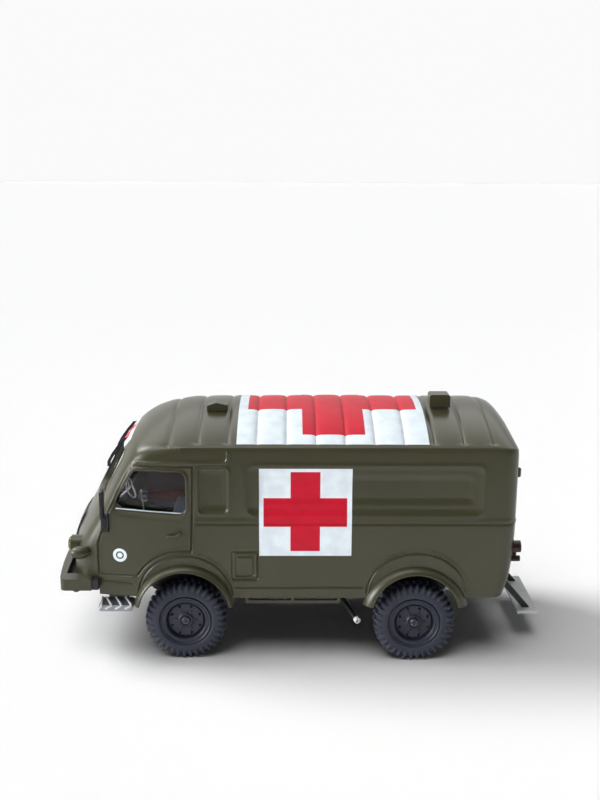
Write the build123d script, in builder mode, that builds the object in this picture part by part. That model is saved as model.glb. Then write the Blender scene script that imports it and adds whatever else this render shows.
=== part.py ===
"""Scale model of a forward-control military ambulance van, about 1:43.

A hollow metal body casting sits on a black plastic base. Two metal axle pins
run in the base, each with two wheels and tyres pressed on its ends, so the
model rolls. All other pieces are fixed fittings: glazing, interior, lamps,
bumper, steps, mirrors, wipers, vents and the exhaust.

Millimetres. +X is forward, +Y the vehicle's left side, +Z up, the ground is z = 0.
"""
from build123d import *
import os
from math import sqrt

os.makedirs("parts", exist_ok=True)

# ---------------------------------------------------------------- driving sizes
wheelbase = 54.0            # 2.32 m at 1:43
front_overhang = 30.6       # front axle to the bumper's face
rear_overhang = 23.6        # rear axle to the body's rear wall
rear_step_reach = 32.0      # rear axle to the rear step's far edge
body_width = 44.6
body_bottom_z = 16.3
belt_z = 35.0
gutter_z = 52.6
roof_crest_z = 58.6
wall = 1.2                  # thickness of the casting
taper_draw_in = 2.8         # each side draws in by this much
taper_run = 25.0            # over this length towards the nose
tail_corner_radius = 3.4
tail_bow = 0.6              # the rear wall's slight bulge
tyre_radius = 9.6           # out to the tips of the lugs
tyre_width = 5.2
lug_depth = 0.7
lug_length = 1.2            # round the tread
lug_count = 19              # in each of the two rows
wheel_radius = 6.0          # the rim's outer flange
axle_pin_radius = 0.75
axle_clearance = 0.06       # between pin and bearing
screw_bore_radius = 1.25    # the two plinth screws' bores in the base

# ---------------------------------------------------------------- derived places
overall_length = front_overhang + wheelbase + rear_step_reach
front_axle_x = overall_length / 2 - front_overhang
rear_axle_x = front_axle_x - wheelbase
half_width = body_width / 2
front_wheel_face_y = half_width - 1.3   # outer face of the front wheels
rear_wheel_face_y = half_width - 0.2
axle_z = tyre_radius
tail_x = rear_axle_x - rear_overhang
cab_back_x = front_axle_x - 4.2
taper_start_x = front_axle_x - 2.0

relief_depth = 0.3          # engraved lines and raised beads
line_width = 0.3
bead_width = 0.5
past = 60.0                 # a cutting tool's length, past the whole width
arch_z = 12.4               # centre of the wheel arches
flare_y = half_width + 1.9  # out to the arches' lips
flare_bottom_z = 14.6
flare_half_length = 11.9
door_back_x = front_axle_x - 2.5
door_top_z = 48.2
door_bottom_z = 21.3
door_arc_z = 14.6           # the door's edge round the wheel arch
door_arc_radius = 13.1
glass_bottom_z = 37.1
glass_top_z = 47.1
glass_corner = 1.7
glass_inner_y = 18.6        # the side panes stand further out than this
screen_bottom_z = 37.8
screen_top_z = 49.4
screen_pane_y = 9.2
screen_pane_width = 16.6
screen_corner = 2.2
screen_edge_y = 18.3        # the windscreen glazing ends here
back_pane_y = 8.2
back_pane_z = 43.0
back_pane_width = 11.0
back_pane_height = 7.6
back_pane_corner = 1.2
sill_line_z = 18.9
nose_cut_x = front_axle_x + 20.1
nose_bottom_z = 17.6
panel_depth = 0.5
panel_corner = 1.8
panel_floor_corner = 1.2
groove_count = 12
groove_pitch = 6.74
first_groove_x = 3.2
groove_depth = 0.3
groove_tool_radius = 0.9
groove_end_y = 21.3
groove_end_z = gutter_z + 1.0
gutter_bead_z = 52.3
drip_z = 49.2
drip_front_x = front_axle_x + 8.2
drip_back_x = front_axle_x - 10.4
gutter_front_x = front_axle_x + 9.0
base_top_z = 17.6
base_bottom_z = 16.0
nose_tongue_y = 10.0
corner_floor = 1.0          # thickness of the stepped-up corners
post_radius = 2.2
post_rib_width = 1.4
screw_radius = 0.8
screw_length = 8.0
screw_slot = (1.8, 0.35)    # length and width of each slot of the cross head

glass_thickness = 0.8
lug_pitch = 360 / lug_count
shoulder_depth = 0.6
sidewall_radius = 8.7
sidewall_taper = 45
hub_end_depth = 0.4         # the pin's end below the wheel's outer face
well_inner_y = half_width - 7.9
well_outer_y = half_width - 1.7
well_radius = 10.9
well_wall = 0.8
frame_rail_y = 9.4
frame_rail_height = 1.6
frame_rail_width = 1.4
frame_rail_length = wheelbase + 34.0
axle_tube_radius = 1.6
differential_radius = 3.3
hub_gap = 0.9               # between an axle tube's end and its wheel
hand_hole_radius = 0.42
hand_hole_circle = 3.7
hand_hole_count = 6
spring_half_length = 9.0
spring_thickness = 0.9
spring_width = 1.6
spring_hanger = 0.9         # the springs' ends below the rails
screw_head_radius = 1.5
screw_head_height = 0.8
plinth_screw_x = (front_axle_x - 20.0, rear_axle_x + 14.0)
plinth_screw_y = -5.5       # beside the shafts, so the screws reach in from below
plinth_boss_radius = 2.4
plinth_boss_height = 3.0
plinth_bore_depth = 4.0
transfer_x = front_axle_x - 27.0
transfer_length = 9.0
transfer_width = 8.0
transfer_height = 5.0
shaft_radius = 0.7
shaft_end_gap = 3.5         # from the axle to the shaft's end
tank_x = rear_axle_x - 13.8
tank_y = 8.8 - half_width
tank_length = 13.0
tank_width = 5.6
tank_height = 4.6
exhaust_radius = 0.6
exhaust_tip_radius = 0.75
exhaust_tip_bore = 0.45
exhaust_tip_length = 0.9
bumper_low_z = 17.9
bumper_height = 2.85
bumper_face_x = front_axle_x + front_overhang
bumper_corner_x = bumper_face_x - 1.7
bumper_end_x = front_axle_x + 21.7
bumper_y = half_width - 0.3
bumper_inner_y = bumper_y - 3.6
bumper_thickness = 1.9
bumper_corner_radius = 1.6
bumper_lip = 0.9            # the hollow's corners behind the face's corners
tray_length = 5.4
tray_thickness = 0.6
iron_y = 8.6
iron_x = front_axle_x + 23.8
iron_length = 8.4
iron_width = 1.6
iron_thickness = 0.7
hook_x = front_axle_x + 25.6
hook_radius = 1.1
headlamp_y = half_width - 8.3
headlamp_z = 26.6
headlamp_radius = 2.05
headlamp_face_x = front_axle_x + 27.3
lens_bulge = 0.8
lens_radius = headlamp_radius - 0.35
lens_seat = 0.5
side_lamp_y = half_width - 2.5
side_lamp_z = 26.5
side_lamp_radius = 1.45
side_lamp_length = 4.2
side_lamp_glass_radius = 0.9
side_lamp_tail_radius = 0.3
side_lamp_face_x = front_axle_x + 26.3
tail_lamp_y = half_width - 3.5
tail_lamp_z = 27.8
tail_lamp_radius = 1.4
reflector_radius = 0.7
reflector_drop = 3.0        # below the lamp
grille_z = 28.3
grille_width = 13.0
grille_height = 6.4
grille_slots = 6
grille_slot_height = 0.45
grille_margin = 0.8
grille_thickness = 0.5
wiper_y = 7.5
wiper_arm_width = 0.5
wiper_blade_width = 0.9
front_step_x = front_axle_x + 16.0
front_step_top_z = 14.7
frame_bar = 0.7             # square bars of the side frames
frame_bar_z = 14.4
frame_bar_y = half_width - 2.3
frame_centre_x = front_axle_x - 25.3
frame_length = 22.4
step_plate_z = 6.8
step_plate_thickness = 0.7
step_plate_length = 5.0
step_plate_width = 21.4
step_arm_y = 8.0
step_arm_width = 1.4
handle_x = front_axle_x + 1.3
handle_z = 31.8
handle_length = 3.6
handle_height = 0.7
mirror_x = front_axle_x + 18.15
mirror_foot_z = belt_z - 0.8
# ahead of the mirror's place, out from the body's side, over the foot, size: foot, head, arm
mirror_blocks = (
    (0.0, -2.2, 0.0, (1.7, 2.2, 4.2)),
    (0.15, 0.3, 5.3, (0.6, 3.0, 6.4)),
    (0.15, -1.05, 2.4, (0.5, 0.6, 3.0)),
)
bulkhead_thickness = 0.8
cab_floor_thickness = 0.8
seat_y = 10.4
seat_width = 12.4
seat_z = base_top_z + 6.8
cushion_height = 3.6
seat_back_height = 14.0
engine_box_height = 7.6
steering_rim_radius = 3.6
dashboard_x = front_axle_x + 21.0
dashboard_z = 34.6
front_vent_y = 6.4          # both roof vents sit left of the middle
front_vent_width = 4.0
rear_vent_y = 5.0
rear_vent_width = 4.0

# along the model from the front axle, height over the screen's top edge
wiper_arm = (
    (14.0, 1.6),
    (15.2, 1.6),
    (16.7, -0.2),
    (18.3, -2.4),
    (19.3, -4.2),
    (19.4, -5.5),
    (18.7, -5.7),
    (18.6, -4.4),
    (17.7, -2.9),
    (16.0, -0.9),
    (14.2, 0.5),
)
wiper_blade = ((15.9, -0.8), (16.4, -0.5), (19.9, -7.6), (19.5, -7.9))
# along the model from the front axle, height over the roof's crest
front_vent_profile = ((-9.8, -2.6), (-9.8, 0.6), (-7.0, 1.15), (-4.85, 0.4), (-4.85, -2.6))
rear_vent_profile = (
    (-62.8, -2.6),
    (-62.8, 2.5),
    (-62.4, 2.9),
    (-58.3, 2.9),
    (-57.9, 2.5),
    (-57.9, -2.6),
)
# side view of the rear step's arms, from the base down to the tread
step_arm = (
    (-64.0, 16.0),
    (-77.2, 16.0),
    (-84.4, 7.5),
    (-82.6, 7.5),
    (-76.6, 14.6),
    (-64.0, 14.6),
)
exhaust_route = (
    (transfer_x - 3.0, 6.0, 13.4),
    (transfer_x - 9.0, 10.0, 12.6),
    (transfer_x - 13.4, 19.6, 9.7),
)
column_foot = (front_axle_x + 20.2, 9.6, 35.6)
column_head = (front_axle_x + 14.1, 9.6, 39.3)

# name, place, outer face of the wheels
axles = (
    ("front", front_axle_x, front_wheel_face_y),
    ("rear", rear_axle_x, rear_wheel_face_y),
)
# depth from the wheel's outer face, radius from the axle
wheel_profile = (
    (hub_end_depth, axle_pin_radius),
    (hub_end_depth, 1.25),
    (1.0, 1.5),
    (1.0, 2.1),
    (1.6, 2.7),
    (1.6, 4.6),
    (0.4, 5.2),
    (0.1, 5.5),
    (0.1, wheel_radius),
    (tyre_width - 0.8, wheel_radius),
    (tyre_width - 0.8, axle_pin_radius),
)

# axle's place, opening's radius, lip's centre height and radius, root's centre height and radius
arches = (
    (front_axle_x, 10.6, 12.3, 11.3, 12.6, 12.0),
    (rear_axle_x, 10.2, 12.2, 11.1, 11.6, 12.6),
)

# start, end along the side from the front axle, low, high, width of the sloped edge
pressed_panels = ((-3.8, -10.5, 37.3, 48.0, 0.7), (-14.9, -68.5, 37.1, 48.2, 2.2))
# centre from the front axle, centre height, length, height
flap_outlines = ((-14.2, 24.4, 5.7, 6.6), (-14.2, 24.1, 3.3, 4.6))
# screw post, where its rib meets the body, the post's height over the base
screw_posts = (
    (front_axle_x + 20.5, front_axle_x + 27.5, 13.0),
    (rear_axle_x - 17.0, rear_axle_x - 23.0, 15.0),
)

# height, nose ahead of the front axle, the nose's bow, tail behind the rear axle, corner radius
height_stations = (
    (body_bottom_z, 27.6, 3.3, rear_overhang - 2.2, 6.0),
    (21.0, 28.5, 3.3, rear_overhang - 0.9, 6.0),
    (26.5, 27.7, 3.6, rear_overhang - 0.3, 6.0),
    (33.4, 24.5, 4.1, rear_overhang, 5.5),
    (37.0, 22.5, 4.4, rear_overhang, 4.5),
    (44.0, 18.9, 4.4, rear_overhang, 4.0),
    (51.0, 15.0, 4.4, rear_overhang, 4.0),
    (60.5, 9.7, 4.4, rear_overhang, 4.0),
)
# place along the length, crest below the roof's crest, edge below the gutter
tail_roof_stations = (
    (25.0, 11.0, 6.0),
    (23.6, 7.2, 1.6),
    (22.0, 3.5, 0.5),
    (19.5, 1.1, 0.1),
    (16.0, 0.2, 0.0),
)
nose_roof_stations = (
    (-28.0, 0.0, 0.0),
    (-2.0, 0.4, 0.0),
    (4.0, 1.3, 0.3),
    (8.5, 3.0, 0.8),
    (12.0, 5.3, 1.7),
    (15.2, 8.3, 3.2),
    (18.5, 11.6, 6.0),
    (23.0, 15.6, 9.8),
    (31.0, 21.0, 15.0),
)


def plan_width(x, inset):
    """Half the body's width at x: parallel sides that draw in towards the nose."""
    run = max(0.0, x - taper_start_x)
    return half_width - inset - taper_draw_in * (run / taper_run) ** 2


def body_form(inset):
    """The body's outer form, or the same form drawn in all round by inset."""
    with BuildPart() as plan_form:
        for z, nose, bow, tail, corner in height_stations:
            level = z if z > body_bottom_z else body_bottom_z - inset
            front_x = front_axle_x + nose - inset
            side_x = front_x - bow
            back_x = rear_axle_x - tail + inset
            narrow = plan_width(side_x, inset)
            wide = half_width - inset
            with BuildSketch(Plane.XY.offset(level)) as outline:
                with BuildLine():
                    ThreePointArc((side_x, -narrow), (front_x, 0), (side_x, narrow))
                    TangentArc((taper_start_x, wide), (side_x, narrow), tangent=(1, 0))
                    Line((taper_start_x, wide), (back_x + tail_bow, wide))
                    ThreePointArc((back_x + tail_bow, wide), (back_x, 0), (back_x + tail_bow, -wide))
                    Line((back_x + tail_bow, -wide), (taper_start_x, -wide))
                    TangentArc((taper_start_x, -wide), (side_x, -narrow), tangent=(1, 0))
                make_face()
                front_corners = outline.vertices().group_by(Axis.X)[-1]
                fillet(front_corners, corner - inset * 0.8)
                back_corners = outline.vertices().group_by(Axis.X)[0]
                fillet(back_corners, tail_corner_radius - inset * 0.8)
        loft()
    side = half_width + 1.0 - inset
    stations = [(rear_axle_x - run, crest, edge) for run, crest, edge in tail_roof_stations]
    stations += [(front_axle_x + run, crest, edge) for run, crest, edge in nose_roof_stations]
    with BuildPart() as roof_form:
        for x, crest, edge in stations:
            crest_z = roof_crest_z - crest - inset
            edge_z = gutter_z - 0.5 - edge - inset
            with BuildSketch(Plane.YZ.offset(x)):
                with BuildLine():
                    ThreePointArc((-side, edge_z), (0, crest_z), (side, edge_z))
                    Polyline((side, edge_z), (side, 0), (-side, 0), (-side, edge_z))
                make_face()
        loft()
    return plan_form.part & roof_form.part


def side_prism(sketch, reach=40.0):
    """A profile drawn in the side view, run through the whole width."""
    return extrude(sketch, amount=reach, both=True, mode=Mode.PRIVATE)


def band(face, width):
    """A line of the given width along a face's outline."""
    wide = offset(face, width / 2, mode=Mode.PRIVATE)
    narrow = offset(face, -width / 2, mode=Mode.PRIVATE)
    return wide - narrow


# ---------------------------------------------------------------- the body casting
outer_form = body_form(0.0)
inner_form = body_form(wall)
lining = body_form(wall + 0.06)
skin = outer_form - body_form(relief_depth)
bead = body_form(-relief_depth) - outer_form

# front edge of the door and its glass, along the model from the front axle, height
door_front_edge = ((11.6, door_top_z), (17.4, belt_z + 1.2), (20.0, belt_z - 6.0), (20.0, door_bottom_z))
door_glass_corners = (
    (-0.6, glass_bottom_z),
    (-0.6, glass_top_z),
    (11.5, glass_top_z),
    (16.6, glass_bottom_z + 0.3),
)
door_arc_back_z = door_arc_z + sqrt(door_arc_radius**2 - (door_back_x - front_axle_x) ** 2)
door_arc_front_x = front_axle_x + sqrt(door_arc_radius**2 - (door_bottom_z - door_arc_z) ** 2)
with BuildSketch(Plane.XZ) as door_outline:
    with BuildLine():
        Polyline(
            (door_back_x, door_arc_back_z),
            (door_back_x, door_top_z),
            *[(front_axle_x + x, z) for x, z in door_front_edge],
            (door_arc_front_x, door_bottom_z),
        )
        RadiusArc((door_arc_front_x, door_bottom_z), (door_back_x, door_arc_back_z), -door_arc_radius)
    make_face()

with BuildSketch(Plane.XZ) as door_glass_outline:
    with BuildLine():
        Polyline(*[(front_axle_x + x, z) for x, z in door_glass_corners], close=True)
    make_face()
    fillet(door_glass_outline.vertices(), glass_corner)

with BuildSketch(Plane.YZ) as screen_outline:
    screen_z = (screen_bottom_z + screen_top_z) / 2
    with Locations((screen_pane_y, screen_z), (-screen_pane_y, screen_z)):
        RectangleRounded(screen_pane_width, screen_top_z - screen_bottom_z, screen_corner)

with BuildSketch(Plane.YZ) as back_glass_outline:
    with Locations((back_pane_y, back_pane_z), (-back_pane_y, back_pane_z)):
        RectangleRounded(back_pane_width, back_pane_height, back_pane_corner)

with BuildSketch(Plane.XZ) as body_lines:
    add(band(door_outline.sketch_local, line_width))
    for x, z, length, height in flap_outlines:
        with BuildSketch(Plane.XZ, mode=Mode.PRIVATE) as flap:
            with Locations((front_axle_x + x, z)):
                RectangleRounded(length, height, 0.5)
        add(band(flap.sketch_local, line_width))

with BuildPart() as body_casting:
    add(outer_form)
    add(inner_form, mode=Mode.SUBTRACT)
    # flared wheel arches, then the openings under them
    for axle_x, opening, lip_z, lip_radius, root_z, root_radius in arches:
        for side in (1, -1):
            with BuildPart(mode=Mode.PRIVATE) as flare:
                with BuildSketch(Plane.XZ.offset(-side * (half_width - wall + 0.1))):
                    with Locations((axle_x, root_z)):
                        Circle(root_radius)
                with BuildSketch(Plane.XZ.offset(-side * (half_width - 0.2))):
                    with Locations((axle_x, root_z)):
                        Circle(root_radius)
                loft(ruled=True)
                with BuildSketch(Plane.XZ.offset(-side * (half_width - 0.2))):
                    with Locations((axle_x, root_z)):
                        Circle(root_radius)
                with BuildSketch(Plane.XZ.offset(-side * flare_y)):
                    with Locations((axle_x, lip_z)):
                        Circle(lip_radius)
                loft(ruled=True)
                with Locations((axle_x, 0, flare_bottom_z + 10)):
                    Box(2 * flare_half_length, past, 20, mode=Mode.INTERSECT)
            add(flare.part)
    for axle_x, opening, lip_z, lip_radius, root_z, root_radius in arches:
        with Locations(Location((axle_x, 0, arch_z), (90, 0, 0))):
            Cylinder(opening, body_width + 10, mode=Mode.SUBTRACT)
    # the lower edge is cut higher round the nose, behind the bumper
    with Locations((nose_cut_x + 10, 0, nose_bottom_z - 5)):
        Box(20, body_width, 10, mode=Mode.SUBTRACT)
    # window openings
    add(side_prism(door_glass_outline.sketch), mode=Mode.SUBTRACT)
    extrude(screen_outline.sketch, amount=overall_length, mode=Mode.SUBTRACT)
    extrude(back_glass_outline.sketch, amount=-overall_length, mode=Mode.SUBTRACT)
    # engraved door, flap and panel lines, a line round the belt and along the sills
    add(skin & side_prism(body_lines.sketch), mode=Mode.SUBTRACT)
    for z in (belt_z, sill_line_z):
        with BuildPart(mode=Mode.PRIVATE) as ring:
            with Locations((door_back_x - past, 0, z)):
                Box(2 * past, past, line_width)
        add(skin & ring.part, mode=Mode.SUBTRACT)
    # pressed panels along the load space and behind the door
    for start_x, end_x, low_z, high_z, slope in pressed_panels:
        centre = (front_axle_x + (start_x + end_x) / 2, (low_z + high_z) / 2)
        length = start_x - end_x
        height = high_z - low_z
        for side in (1, -1):
            with BuildSketch(Plane.XZ.offset(-side * (half_width + 0.01))):
                with Locations(centre):
                    RectangleRounded(length, height, panel_corner)
            with BuildSketch(Plane.XZ.offset(-side * (half_width - panel_depth))):
                with Locations(centre):
                    RectangleRounded(length - 2 * slope, height - 2 * slope, panel_floor_corner)
            loft(mode=Mode.SUBTRACT)
    # rounded grooves across the roof
    for number in range(groove_count):
        x = front_axle_x + first_groove_x - number * groove_pitch
        with BuildLine(Plane.YZ.offset(x)) as arch:
            groove_crest = (0, roof_crest_z + groove_tool_radius - groove_depth)
            ThreePointArc((-groove_end_y, groove_end_z), groove_crest, (groove_end_y, groove_end_z))
        with BuildSketch(Plane(origin=arch.line @ 0, z_dir=arch.line % 0)):
            Circle(groove_tool_radius)
        sweep(path=arch.line, mode=Mode.SUBTRACT)
    # gutter bead and the drip rail over the door
    with BuildPart(mode=Mode.PRIVATE) as gutter:
        with Locations((gutter_front_x - past, 0, gutter_bead_z)):
            Box(2 * past, past, bead_width)
    add(bead & gutter.part)
    with BuildPart(mode=Mode.PRIVATE) as drip:
        with Locations(((drip_front_x + drip_back_x) / 2, 0, drip_z)):
            Box(drip_front_x - drip_back_x, past, bead_width)
        with Locations((drip_back_x, 0, (drip_z + gutter_bead_z) / 2)):
            Box(bead_width, past, gutter_bead_z - drip_z)
    add(bead & drip.part)
    # posts that take the base screws
    for x, rib_end_x, post_height in screw_posts:
        with BuildPart(mode=Mode.PRIVATE) as post:
            with BuildSketch(Plane.XY.offset(base_top_z)):
                with Locations((x, 0)):
                    Circle(post_radius)
                with Locations(((x + rib_end_x) / 2, 0)):
                    Rectangle(abs(rib_end_x - x), post_rib_width)
            extrude(amount=post_height)
        add(post.part & outer_form)
        with Locations((x, 0, base_top_z + screw_length / 2)):
            Cylinder(screw_radius, screw_length, mode=Mode.SUBTRACT)
body_casting.part.label = "body_casting"
export_step(body_casting.part, "parts/body_casting.step")

# ---------------------------------------------------------------- glazing
glass_fit = body_form(wall + 0.04) - body_form(wall + glass_thickness)
glass_margin = 0.9
with BuildPart() as door_glass:
    with BuildSketch(Plane.XZ):
        add(offset(door_glass_outline.sketch_local, glass_margin, mode=Mode.PRIVATE))
    extrude(amount=past, both=True)
    add(glass_fit, mode=Mode.INTERSECT)
    with Locations((front_axle_x, 0, belt_z)):
        Box(past, 2 * glass_inner_y, past, mode=Mode.SUBTRACT)
door_glass.part.label = "door_glass"
export_step(door_glass.part, "parts/door_glass.step")

with BuildPart() as windscreen_glass:
    with BuildSketch(Plane.YZ.offset(front_axle_x)):
        add(offset(screen_outline.sketch_local, glass_margin, mode=Mode.PRIVATE))
    extrude(amount=past)
    add(glass_fit, mode=Mode.INTERSECT)
    with Locations((front_axle_x, 0, belt_z)):
        Box(past, 2 * screen_edge_y, past, mode=Mode.INTERSECT)
windscreen_glass.part.label = "windscreen_glass"
export_step(windscreen_glass.part, "parts/windscreen_glass.step")

with BuildPart() as back_door_glass:
    with BuildSketch(Plane.YZ.offset(rear_axle_x)):
        add(offset(back_glass_outline.sketch_local, glass_margin, mode=Mode.PRIVATE))
    extrude(amount=-past)
    add(glass_fit, mode=Mode.INTERSECT)
back_door_glass.part.label = "back_door_glass"
export_step(back_door_glass.part, "parts/back_door_glass.step")

# ---------------------------------------------------------------- base plate
with BuildPart() as base_plate:
    with Locations((0, 0, (base_bottom_z + base_top_z) / 2)):
        Box(4 * past, past, base_top_z - base_bottom_z)
    # wheel wells with a rounded tub over each wheel
    for axle_x in (front_axle_x, rear_axle_x):
        for side in (1, -1):
            well_y = side * (well_inner_y + well_outer_y) / 2
            well_width = well_outer_y - well_inner_y
            with Locations(Location((axle_x, well_y, arch_z), (90, 0, 0))):
                Cylinder(well_radius + well_wall, well_width)
            inner_y = side * (well_inner_y + well_wall + 10)
            with Locations(Location((axle_x, inner_y, arch_z), (90, 0, 0))):
                Cylinder(well_radius, 20, mode=Mode.SUBTRACT)
    with Locations((0, 0, base_bottom_z + 20)):
        Box(4 * past, past, 40, mode=Mode.INTERSECT)
    # both front corners step up behind the bumper
    for side in (1, -1):
        with Locations((nose_cut_x + 10, side * (10 + nose_tongue_y), nose_bottom_z - 5)):
            Box(20, 20, 10, mode=Mode.SUBTRACT)
        with Locations((nose_cut_x + 8, side * (10 + post_radius + 0.4), nose_bottom_z + corner_floor / 2)):
            Box(20, 20, corner_floor)
    add(lining, mode=Mode.INTERSECT)
    # two long frame rails under the plate
    for y in (frame_rail_y, -frame_rail_y):
        with Locations(((front_axle_x + rear_axle_x) / 2, y, base_bottom_z - frame_rail_height / 2)):
            Box(frame_rail_length, frame_rail_width, frame_rail_height)
    # bores for the base screws, and two for the screws of a display plinth
    for x, rib_end_x, post_height in screw_posts:
        with Locations((x, 0, base_bottom_z)):
            Cylinder(screw_radius, screw_length, mode=Mode.SUBTRACT)
            Cylinder(screw_head_radius, 2 * screw_head_height, mode=Mode.SUBTRACT)
    for x in plinth_screw_x:
        with Locations((x, plinth_screw_y, base_bottom_z - plinth_boss_height / 2)):
            Cylinder(plinth_boss_radius, plinth_boss_height)
        with Locations((x, plinth_screw_y, base_bottom_z - plinth_boss_height + plinth_bore_depth / 2)):
            Cylinder(screw_bore_radius, plinth_bore_depth, mode=Mode.SUBTRACT)
base_plate.part.label = "base_plate"
export_step(base_plate.part, "parts/base_plate.step")

with BuildPart() as base_screws:
    for x, rib_end_x, post_height in screw_posts:
        with Locations((x, 0, base_bottom_z + screw_head_height / 2)):
            Cylinder(screw_head_radius, screw_head_height)
        with Locations((x, 0, base_bottom_z + screw_head_height + 2.5)):
            Cylinder(screw_radius, 5)
        with Locations((x, 0, base_bottom_z)):
            Box(*screw_slot, 0.5, mode=Mode.SUBTRACT)
            Box(*reversed(screw_slot), 0.5, mode=Mode.SUBTRACT)
base_screws.part.label = "base_screws"
export_step(base_screws.part, "parts/base_screws.step")

# ---------------------------------------------------------------- axles and springs
for name, axle_x, face_y in axles:
    inner_face = face_y - tyre_width
    tube_end = inner_face - hub_gap
    with BuildPart() as housing:
        with Locations(Location((axle_x, 0, axle_z), (90, 0, 0))):
            Cylinder(axle_tube_radius, 2 * tube_end)
        with Locations((axle_x, 0, axle_z)):
            Sphere(differential_radius)
        # leaf springs, clamped on the tube and hung from the frame rails
        for side in (1, -1):
            y = side * frame_rail_y
            spring_start = (axle_x - spring_half_length, base_bottom_z - frame_rail_height - spring_hanger)
            spring_end = (axle_x + spring_half_length, base_bottom_z - frame_rail_height - spring_hanger)
            leaf_start = (spring_start[0], spring_start[1] + spring_thickness)
            leaf_end = (spring_end[0], spring_end[1] + spring_thickness)
            with BuildSketch(Plane.XZ.offset(-y)):
                with BuildLine():
                    ThreePointArc(spring_start, (axle_x, axle_z + 1.3), spring_end)
                    ThreePointArc(leaf_start, (axle_x, axle_z + 2.4), leaf_end)
                    Line(spring_start, leaf_start)
                    Line(spring_end, leaf_end)
                make_face()
            extrude(amount=spring_width / 2, both=True)
            with Locations((axle_x, y, axle_z + 0.9)):
                Box(2.4, 2.2, 3.4)
        with Locations(Location((axle_x, 0, axle_z), (90, 0, 0))):
            Cylinder(axle_pin_radius + axle_clearance, past, mode=Mode.SUBTRACT)
    housing.part.label = f"{name}_axle_housing"
    export_step(housing.part, f"parts/{name}_axle_housing.step")

    with BuildPart() as pin:
        with Locations(Location((axle_x, 0, axle_z), (90, 0, 0))):
            Cylinder(axle_pin_radius, 2 * (face_y - hub_end_depth))
    pin.part.label = f"{name}_axle_pin"
    export_step(pin.part, f"parts/{name}_axle_pin.step")

    for side_name, side in (("left", 1), ("right", -1)):
        with BuildPart() as wheel:
            with BuildSketch(Plane.YZ.offset(axle_x)):
                with BuildLine():
                    Polyline(
                        [(side * (face_y - depth), axle_z + radius) for depth, radius in wheel_profile],
                        close=True,
                    )
                make_face()
            revolve(axis=Axis((axle_x, 0, axle_z), (0, 1, 0)), revolution_arc=360)
            # hand holes through the disc
            with BuildSketch(Plane.XZ.offset(-side * (face_y - 1.2))):
                with Locations((axle_x, axle_z)):
                    with PolarLocations(hand_hole_circle, hand_hole_count):
                        Circle(hand_hole_radius)
            extrude(amount=side * 1.2, mode=Mode.SUBTRACT)
        wheel.part.label = f"wheel_{name}_{side_name}"
        export_step(wheel.part, f"parts/wheel_{name}_{side_name}.step")

        # two rows of lugs, half a pitch apart, between plain sidewalls
        with BuildPart() as tyre:
            for depth, half_pitch in ((shoulder_depth, 0.0), (tyre_width / 2, 0.5)):
                with BuildSketch(Plane.XZ.offset(-side * (face_y - depth))):
                    with Locations((axle_x, axle_z)):
                        first = lug_pitch * half_pitch
                        RegularPolygon(tyre_radius - lug_depth + 0.05, lug_count, rotation=first)
                        with PolarLocations(tyre_radius - lug_depth, lug_count, start_angle=first):
                            Rectangle(2 * lug_depth, lug_length)
                extrude(amount=side * (tyre_width / 2 - shoulder_depth))
            for depth, way in ((shoulder_depth, -1), (tyre_width - shoulder_depth, 1)):
                with BuildSketch(Plane.XZ.offset(-side * (face_y - depth))):
                    with Locations((axle_x, axle_z)):
                        RegularPolygon(sidewall_radius, 2 * lug_count)
                extrude(amount=way * side * shoulder_depth, taper=sidewall_taper)
            with Locations(Location((axle_x, side * face_y, axle_z), (90, 0, 0))):
                Cylinder(wheel_radius, 3 * tyre_width, mode=Mode.SUBTRACT)
        tyre.part.label = f"tyre_{name}_{side_name}"
        export_step(tyre.part, f"parts/tyre_{name}_{side_name}.step")

# ---------------------------------------------------------------- transmission
with BuildPart() as transmission:
    with Locations((transfer_x, 0, base_bottom_z - transfer_height / 2)):
        Box(transfer_length, transfer_width, transfer_height)
    fillet(transmission.edges().filter_by(Axis.Z), 1.2)
    shaft_z = base_bottom_z - transfer_height + 1.6
    shaft_start = transfer_length / 2 - 0.5
    for end_x in (front_axle_x - shaft_end_gap, rear_axle_x + shaft_end_gap):
        start_x = transfer_x + (shaft_start if end_x > transfer_x else -shaft_start)
        shaft = Edge.make_line((start_x, 0, shaft_z), (end_x, 0, axle_z + 0.6))
        with BuildSketch(Plane(origin=shaft @ 0, z_dir=shaft % 0)):
            Circle(shaft_radius)
        extrude(amount=shaft.length)
transmission.part.label = "transmission"
export_step(transmission.part, "parts/transmission.step")

with BuildPart() as fuel_tank:
    with Locations((tank_x, tank_y, base_bottom_z - tank_height / 2)):
        Box(tank_length, tank_width, tank_height)
    fillet(fuel_tank.edges().filter_by(Axis.X).group_by(Axis.Z)[0], 1.4)
fuel_tank.part.label = "fuel_tank"
export_step(fuel_tank.part, "parts/fuel_tank.step")

# ---------------------------------------------------------------- exhaust
with BuildPart() as exhaust_pipe:
    with BuildLine():
        FilletPolyline(*exhaust_route, radius=2.0)
    first_run = Vector(*exhaust_route[1]) - Vector(*exhaust_route[0])
    with BuildSketch(Plane(origin=exhaust_route[0], z_dir=first_run)):
        Circle(exhaust_radius)
    sweep()
exhaust_pipe.part.label = "exhaust_pipe"
export_step(exhaust_pipe.part, "parts/exhaust_pipe.step")

tail_way = (Vector(*exhaust_route[-1]) - Vector(*exhaust_route[-2])).normalized()
with BuildPart() as exhaust_tip:
    with BuildSketch(Plane(origin=exhaust_route[-1], z_dir=tail_way)):
        Circle(exhaust_tip_radius)
        Circle(exhaust_tip_bore, mode=Mode.SUBTRACT)
    extrude(amount=exhaust_tip_length)
exhaust_tip.part.label = "exhaust_tip"
export_step(exhaust_tip.part, "parts/exhaust_tip.step")

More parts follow.
